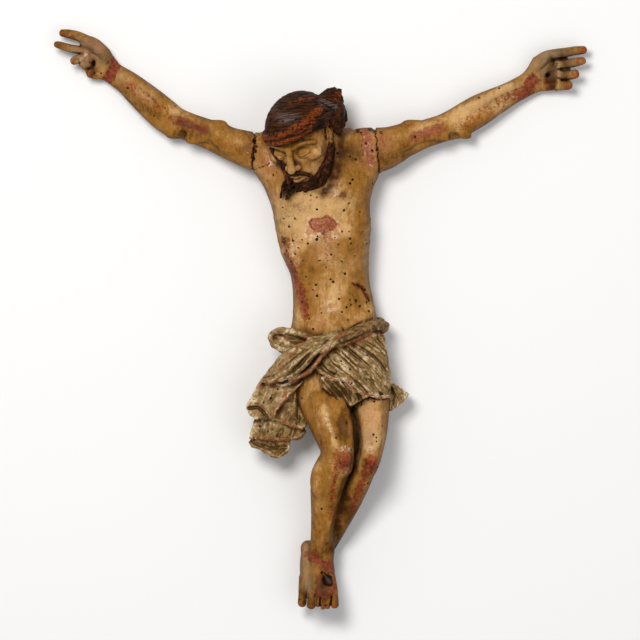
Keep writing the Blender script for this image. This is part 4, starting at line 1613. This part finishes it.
BODY_LOST = (
    (1.1, 345, 461, 8, 8), (1.2, 371, 463, 7.4, 7.4), (0.75, [(309, 556), (320, 562), (333, 569)], 4),
    (0.6, [(361, 484), (353, 506)], 3.4), (0.4, 326, 590, 8, 6), (0.7, 343, 196, 5, 5),
    (0.75, [(366, 130), (368, 146), (371, 162)], 5), (0.44, [(325, 238), (327, 262)], 3.4),
    (0.35, [(286, 250), (291, 266)], 5), (0.75, [(292, 270), (296, 280), (305, 314)], 5),
)
BODY_GESSO = (
    (0.8, 320, 236, 22, 6), (0.6, [(306, 222), (312, 234)], 4), (0.6, [(338, 224), (334, 236)], 4),
    (0.48, [(366, 132), (371, 163)], 7), (0.8, 331, 306, 8, 7),
    (0.5, [(325, 412), (331, 430), (336, 443)], 2.6), (0.8, 346, 449, 8, 4.6), (0.62, 370, 445, 7, 9),
    (0.36, 310, 205, 22, 14), (0.62, 332, 192, 10, 5), (0.6, [(292, 244), (297, 264)], 4),
)
BODY_WEAR = (
    (1.4, 345, 456, 7, 6), (1.2, 371, 458, 6, 5), (0.5, [(301, 604), (334, 605)], 5),
    (0.85, [(265, 140), (276, 139), (290, 136), (304, 127), (317, 113)], 6),
    (0.55, [(290, 103), (313, 99)], 3), (0.6, [(270, 146), (296, 141), (312, 132)], 2.6),
    (0.5, 337, 97, 8, 8), (0.4, [(322, 132), (330, 142)], 4), (0.5, [(336, 450), (330, 520)], 4),
    (0.55, [(324, 152), (325, 166)], 2.4), (0.5, [(283, 170), (288, 184)], 2),
    (0.85, [(302, 378), (283, 399), (275, 412)], 3), (0.85, [(249, 439), (297, 440)], 2.6),
    (0.85, [(345, 345), (370, 336), (384, 330)], 2.6),
    (0.7, [(258, 386), (282, 381), (302, 377), (316, 361)], 3),
    (0.6, [(343, 333), (324, 353), (306, 371)], 2.6),
    (0.7, [(316, 369), (326, 377), (345, 381), (362, 394)], 2.4),
    (0.75, [(368, 395), (380, 398), (389, 397)], 2.4),
    (0.7, [(248, 405), (258, 404), (266, 411), (280, 420), (303, 430)], 2), (0.6, 405, 394, 4, 4),
    (0.6, [(272, 334), (284, 339), (300, 344)], 2.4), (0.6, [(280, 368), (300, 344), (306, 336)], 3),
)
BODY_FADED = (
    (0.14, 362, 354, 22, 10), (0.22, 285, 340, 16, 10), (-0.46, 340, 391, 16, 9),
    (-0.3, [(345, 340), (382, 326)], 8), (-0.3, 272, 450, 24, 9), (-0.1, 276, 428, 26, 8),
    (0.02, 270, 394, 14, 10), (-0.07, 294, 411, 10, 14), (0.4, 288, 119, 13, 7),
    (0.4, [(322, 103), (334, 108)], 5), (0.3, [(305, 548), (308, 588)], 6), (0.3, 370, 438, 9, 12),
    (0.2, 290, 215, 22, 26), (0.34, [(367, 232), (366, 262), (369, 290)], 4),
    (0.24, [(293, 285), (295, 320)], 4),
)
CHEST_SEAMS = (
    (0.66, [(252, 170), (260, 168), (268, 165)], 0.9), (0.66, [(265, 183), (272, 177), (278, 172)], 0.9),
)
UNDER_CHIN = [(264, 143), (280, 141), (300, 135.6), (312, 130), (323, 126)]
ARMPIT = (276, 160, 14, 20)
SHOULDER_EDGE = (272, 158, 12, 16)
NECK_SIDE = [(339, 132), (341, 150), (336, 172)]
THIGH_GAP = (344, 420, 7, 28)
THIGH_STAIN = (346, 418, 6, 30)
SHIN_GAP = (350, 480, 8, 40)
SHIN_STAIN = [(354, 472), (345, 500), (338, 524), (335, 548)]
FOOT_HOLE = (326.8, 578.6, 4.6, 6.6)

points, normals = places(body)
x, y, z = points.T
face_across, face_up, face_out = into_head(points).T
face = soft_step(12, 22, face_out) * soft_step(24, 20, np.abs(face_across))
face = face * soft_step(60, 56, face_up) * soft_step(-2, 4, face_up)
brows = line(np.abs(face_across), face_up, [(4.5, 53), (12, 56.4), (20, 55)], 1.7) * face
lips = mound(face_across, face_up, 0, 19.4, 8.4, 3) * (face_out > 34)
carved = ((flesh_block, False), (cloth_block, False), (head_block, True), (hair_block, True))
fine, broad, sharp = hollow_and_ridge(points, normals, carved)
front = soft_step(-0.25, 0.3, normals[:, 2])
bruise = outline_distance(x, y, BRUISE)
cracked = shoulder_cracks(x, y) + 0.9 * line(x, y, HIP_CRACK, 1.3) + 1.2 * mound(x, y, *FOOT_HOLE)
cracked += drawn(x, y, CHEST_SEAMS)
tone = 0.56 + drawn(x, y, BODY_TONE) - 0.1 * soft_step(440, 500, y) - 0.12 * soft_step(500, 530, y)
tone -= 0.04 * soft_step(535, 560, y) + 0.4 * mound(x, y, *THIGH_GAP) * (x < 351)
tone -= 0.5 * mound(x, y, *SHIN_GAP) * (z < 46)
brown = drawn(x, y, BODY_BROWN) + 0.5 * brows + 0.1 * mound(x, y, *THIGH_STAIN) * (x < 352)
brown += 1.0 * line(x, y, NECK_SIDE, 8) * (x > 331) + 1.1 * line(x, y, SHIN_STAIN, 7) * (z < 50)
mark(body, "recess", soft_step(0.2, 0.8, fine) * (1 - 0.5 * face)
     + 0.8 * line(x, y, UNDER_CHIN, 1.5) * front)
mark(body, "crack", cracked * front)
mark(body, "hollow", soft_step(0.3, 0.85, broad))
mark(body, "ridge", soft_step(0.25, 0.7, sharp))
mark(body, "shade", 0.8 * soft_step(0.72, 0.0, normals[:, 2]) * (z > 4))
mark(body, "tone", tone)
mark(body, "rose", (drawn(x, y, BODY_ROSE) + lips + 0.7 * mound(x, y, *ARMPIT) * (z < 58)) * front)
mark(body, "brown", brown * front)
mark(body, "blood", (drawn(x, y, BODY_BLOOD) + 0.85 * np.exp(-(bruise / 1.3) ** 2)) * front)
mark(body, "lost", (drawn(x, y, BODY_LOST) + soft_step(1.2, -1.4, bruise)) * front)
mark(body, "gesso", (drawn(x, y, BODY_GESSO) + 0.5 * mound(x, y, *SHOULDER_EDGE) * (z < 56)) * front)
mark(body, "wear", drawn(x, y, BODY_WEAR) * front)
mark(body, "faded", 0.5 + drawn(x, y, BODY_FADED))
folds = body.data.attributes.new("folds", "FLOAT_VECTOR", "POINT")
across, along = fold_lines(x, y)
strokes = np.stack([across * (1 - 0.6 * in_tail(x, y)), along, z / 2], axis=1)
folds.data.foreach_set("vector", strokes.astype(np.float32).ravel())
mark(body, "combed", soft_step(57, 63, face_up) * (y < 150))
body.data.shade_smooth()
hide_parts("body")
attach(body, "root")


# Loose arms
# Each arm is a length of the same wood, cut at the open seam and glued into the shoulder. It is
# carved, wormed and painted as the body is.
ARM_CELL = 0.6
ARM_FACES = 90000
ARM_SIDE_HOLES = 14
ARM_MARKS = {
    "rose": ((0.6, 86, 58, 8, 10), (0.6, 94, 47, 16, 8), (0.5, 262, 150, 12, 20), (0.5, 384, 144, 10, 12)),
    "brown": (
        (0.55, [(180, 121), (192, 126), (206, 130)], 6), (0.5, 60, 46, 8, 5), (0.3, 86, 58, 9, 12),
        (0.95, 93, 63, 3, 6), (1.0, 550, 77, 6, 8), (1.0, [(552, 60), (552, 89)], 4.6),
        (0.35, 91, 68, 5, 4), (0.7, [(562, 56), (566, 66), (565, 80)], 4),
        (0.5, [(64, 40), (80, 46), (92, 49)], 3),
    ),
    "blood": (
        (0.62, [(180, 122), (192, 127), (206, 131)], 4), (1.2, [(116, 62), (112, 72), (104, 86)], 5.4),
        (0.75, [(104, 85), (114, 93), (126, 101)], 3.4), (1.3, [(532, 80), (529, 88), (525, 97)], 6.4),
        (1.2, 549, 82, 6, 8), (0.9, 91, 71, 7, 6), (0.55, [(524, 88), (508, 98)], 5),
    ),
    "lost": (
        (1.1, [(115, 63), (111, 72), (105, 84)], 5), (1.1, [(532, 80), (529, 88), (525, 97)], 6),
        (0.9, [(180, 121), (192, 126), (206, 130)], 5), (0.9, [(413, 138), (426, 133), (441, 128)], 5.6),
        (0.5, 383, 142, 8, 9),
    ),
    "gesso": ((0.25, [(249, 138), (248, 165)], 6), (0.46, 85, 58, 7, 9), (0.3, [(559, 60), (559, 88)], 3)),
    "wear": (
        (0.8, [(61, 33), (67, 38)], 3.4), (0.45, 58, 45, 6, 4), (0.8, 73, 61, 5, 4), (0.7, 92, 75, 8, 5),
        (0.95, 584, 50, 6, 5), (0.9, 582, 61, 6, 5), (0.9, 576, 74, 5, 5), (0.9, 570, 85, 5, 5),
        (0.45, [(126, 84), (150, 102), (176, 122)], 9), (0.45, [(516, 92), (490, 108), (464, 124)], 9),
        (0.35, [(200, 134), (240, 150)], 7), (0.35, [(404, 144), (440, 134)], 7),
    ),
}
ARM_TONE = (
    (0.26, [(240, 142), (180, 116), (120, 76)], 6), (0.26, [(400, 136), (470, 108), (530, 76)], 6),
    (0.3, [(455, 120), (480, 110), (512, 95)], 12), (-0.3, 108, 59, 6, 6), (-0.4, 560, 54, 13, 6),
    (-0.2, 76, 36, 22, 8), (-0.5, 97, 47, 15, 9), (0.2, 84, 57, 8, 8),
    (0.22, [(559, 62), (560, 75), (559, 88)], 3),
)
ARM_FADED = (
    (0.36, 88, 54, 24, 22), (0.4, 552, 62, 28, 24), (0.2, [(118, 76), (150, 100)], 9),
    (0.2, [(525, 86), (490, 104)], 9),
)


def loose_arm(name, block, arm, seam, outwards):
    carve_trunk(block)
    carve_arm(block, arm)
    open_cracks(block)
    block.cut_off(*seam_plane(seam, outwards), above=SEAM_FOOT)
    planed(block)
    return coat(mesh_of(name, block, ARM_FACES), FLESH)


# Dirt inside the hole of the lost nail, which runs back from the palm as a leaning cone
def nail_hole_dirt(points, normals, arm):
    (*low, _), (*high, _) = (station[:3] for station in arm["nail_hole"])
    shaft = np.clip((points[:, 2] + 6) / 39, 0, 1)[:, None]
    away = np.linalg.norm(points[:, :2] - low - shaft * (np.array(high) - low), axis=1)
    return soft_step(4.6, 3.4, away) * soft_step(0.75, 0.5, normals[:, 2])


def paint_arm(piece, block, arm):
    points, normals = places(piece)
    x, y, z = points.T
    fine, broad, _ = hollow_and_ridge(points, normals, ((block, False),))
    front = soft_step(-0.25, 0.3, normals[:, 2])
    mark(piece, "crack", shoulder_cracks(x, y) * front)
    mark(piece, "recess", soft_step(0.2, 0.8, fine) + nail_hole_dirt(points, normals, arm))
    mark(piece, "hollow", soft_step(0.3, 0.85, broad))
    mark(piece, "shade", 0.8 * soft_step(0.72, 0.0, normals[:, 2]) * (z > 4))
    mark(piece, "tone", 0.4 + drawn(x, y, ARM_TONE))
    mark(piece, "faded", 0.5 + drawn(x, y, ARM_FADED))
    for name, rows in ARM_MARKS.items():
        mark(piece, name, drawn(x, y, rows) * front)
    piece.data.shade_smooth()


right_block = Block((46, 22, -3), (268, 186, 58), ARM_CELL)
right_arm = loose_arm("right_arm_carving", right_block, RIGHT_ARM, RIGHT_SEAM, 1)
flight_holes(right_arm, ARM_HOLES, ARM_SIDE_HOLES, 7)
paint_arm(right_arm, right_block, RIGHT_ARM)
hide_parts("right_arm")
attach(right_arm, "root")

left_block = Block((366, 36, -3), (594, 186, 58), ARM_CELL)
left_arm = loose_arm("left_arm_carving", left_block, LEFT_ARM, LEFT_SEAM, -1)
flight_holes(left_arm, ARM_HOLES, ARM_SIDE_HOLES, 9)
paint_arm(left_arm, left_block, LEFT_ARM)
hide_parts("left_arm")
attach(left_arm, "root")


# Nail
# The stub of the forged iron nail that held the feet, left as it is in its hole. It is rusted dark
# but for a grey bar of iron across it.
forged_iron, bench, shader = painted("forged_iron")
rust = bench.ease(bench.noise(500, 5, 0.6), 0.4, 0.65)
spot = bench.put("ShaderNodeSeparateXYZ", {"Vector": bench.place()}).outputs
side_of_bar = bench.math("ADD", bench.math("MULTIPLY", spot["X"], 0.8 / PART),
                         bench.math("MULTIPLY", spot["Y"], 0.6 / PART))
bar = bench.ease(bench.math("ABSOLUTE", bench.math("ADD", side_of_bar, 225.0), 0.0), 0.5, 1.7, 1.0, 0.0)
iron = bench.mix(bench.math("MULTIPLY", bar, bench.ease(rust, 0, 1, 1.0, 0.5)), hue(36, 20, 11),
                 hue(84, 70, 73))
finish_paint(bench, shader, iron, bench.ease(rust, 0, 1, 0.45, 0.85), bench.noise(900, 4), 0.5)
shader.inputs["Metallic"].default_value = 0.3
nail = bpy.data.objects["foot_nail"]
nail.data.materials.clear()
nail.data.materials.append(forged_iron)


# Stage
# The figure lies on a plain pale floor, under two soft lamps and an even white sky. The camera looks
# straight down on it through a long lens.
FLOOR_SIZE = 8
FLOOR_GAP = 0.0005
bpy.ops.mesh.primitive_plane_add(size=FLOOR_SIZE, location=(0, 0, -FLOOR_GAP))
floor = bpy.context.object
floor.name = "floor"
paper = bpy.data.materials.new("paper")
paper.use_nodes = True
paper_shader = paper.node_tree.nodes["Principled BSDF"]
paper_shader.inputs["Base Color"].default_value = (0.9, 0.9, 0.9, 1)
paper_shader.inputs["Roughness"].default_value = 0.9
floor.data.materials.append(paper)

FRAME_WIDTH = 0.48
FRAME_MIDDLE = 320
CAMERA_HEIGHT = 6.0
FOCUS = 0.02
SENSOR = 36
camera = bpy.data.objects.new("camera", bpy.data.cameras.new("camera"))
bpy.context.scene.collection.objects.link(camera)
camera.data.sensor_width = SENSOR
camera.data.lens = SENSOR * CAMERA_HEIGHT / FRAME_WIDTH
camera.data.clip_end = 20
camera.location = ((FRAME_MIDDLE - MIDDLE) * PART, (CHEST - FRAME_MIDDLE) * PART, CAMERA_HEIGHT + FOCUS)
bpy.context.scene.camera = camera


def soft_light(name, place, size, power, tint):
    lamp = bpy.data.objects.new(name, bpy.data.lights.new(name, "AREA"))
    bpy.context.scene.collection.objects.link(lamp)
    lamp.location = place
    lamp.rotation_euler = (Vector((0, -0.05, 0)) - Vector(place)).to_track_quat("-Z", "Y").to_euler()
    lamp.data.shape = "SQUARE"
    lamp.data.size = size
    lamp.data.energy = power
    lamp.data.color = tint


soft_light("key", (-0.5, 0.6, 2.0), 0.7, 33, (1.0, 0.98, 0.95))
soft_light("fill", (0.9, -0.5, 1.8), 1.4, 7, (0.97, 0.98, 1.0))
world = bpy.data.worlds.new("studio")
world.use_nodes = True
sky = world.node_tree.nodes["Background"]
sky.inputs["Color"].default_value = (1, 1, 1, 1)
sky.inputs["Strength"].default_value = 0.35
bpy.context.scene.world = world
bpy.context.scene.view_settings.view_transform = "Standard"
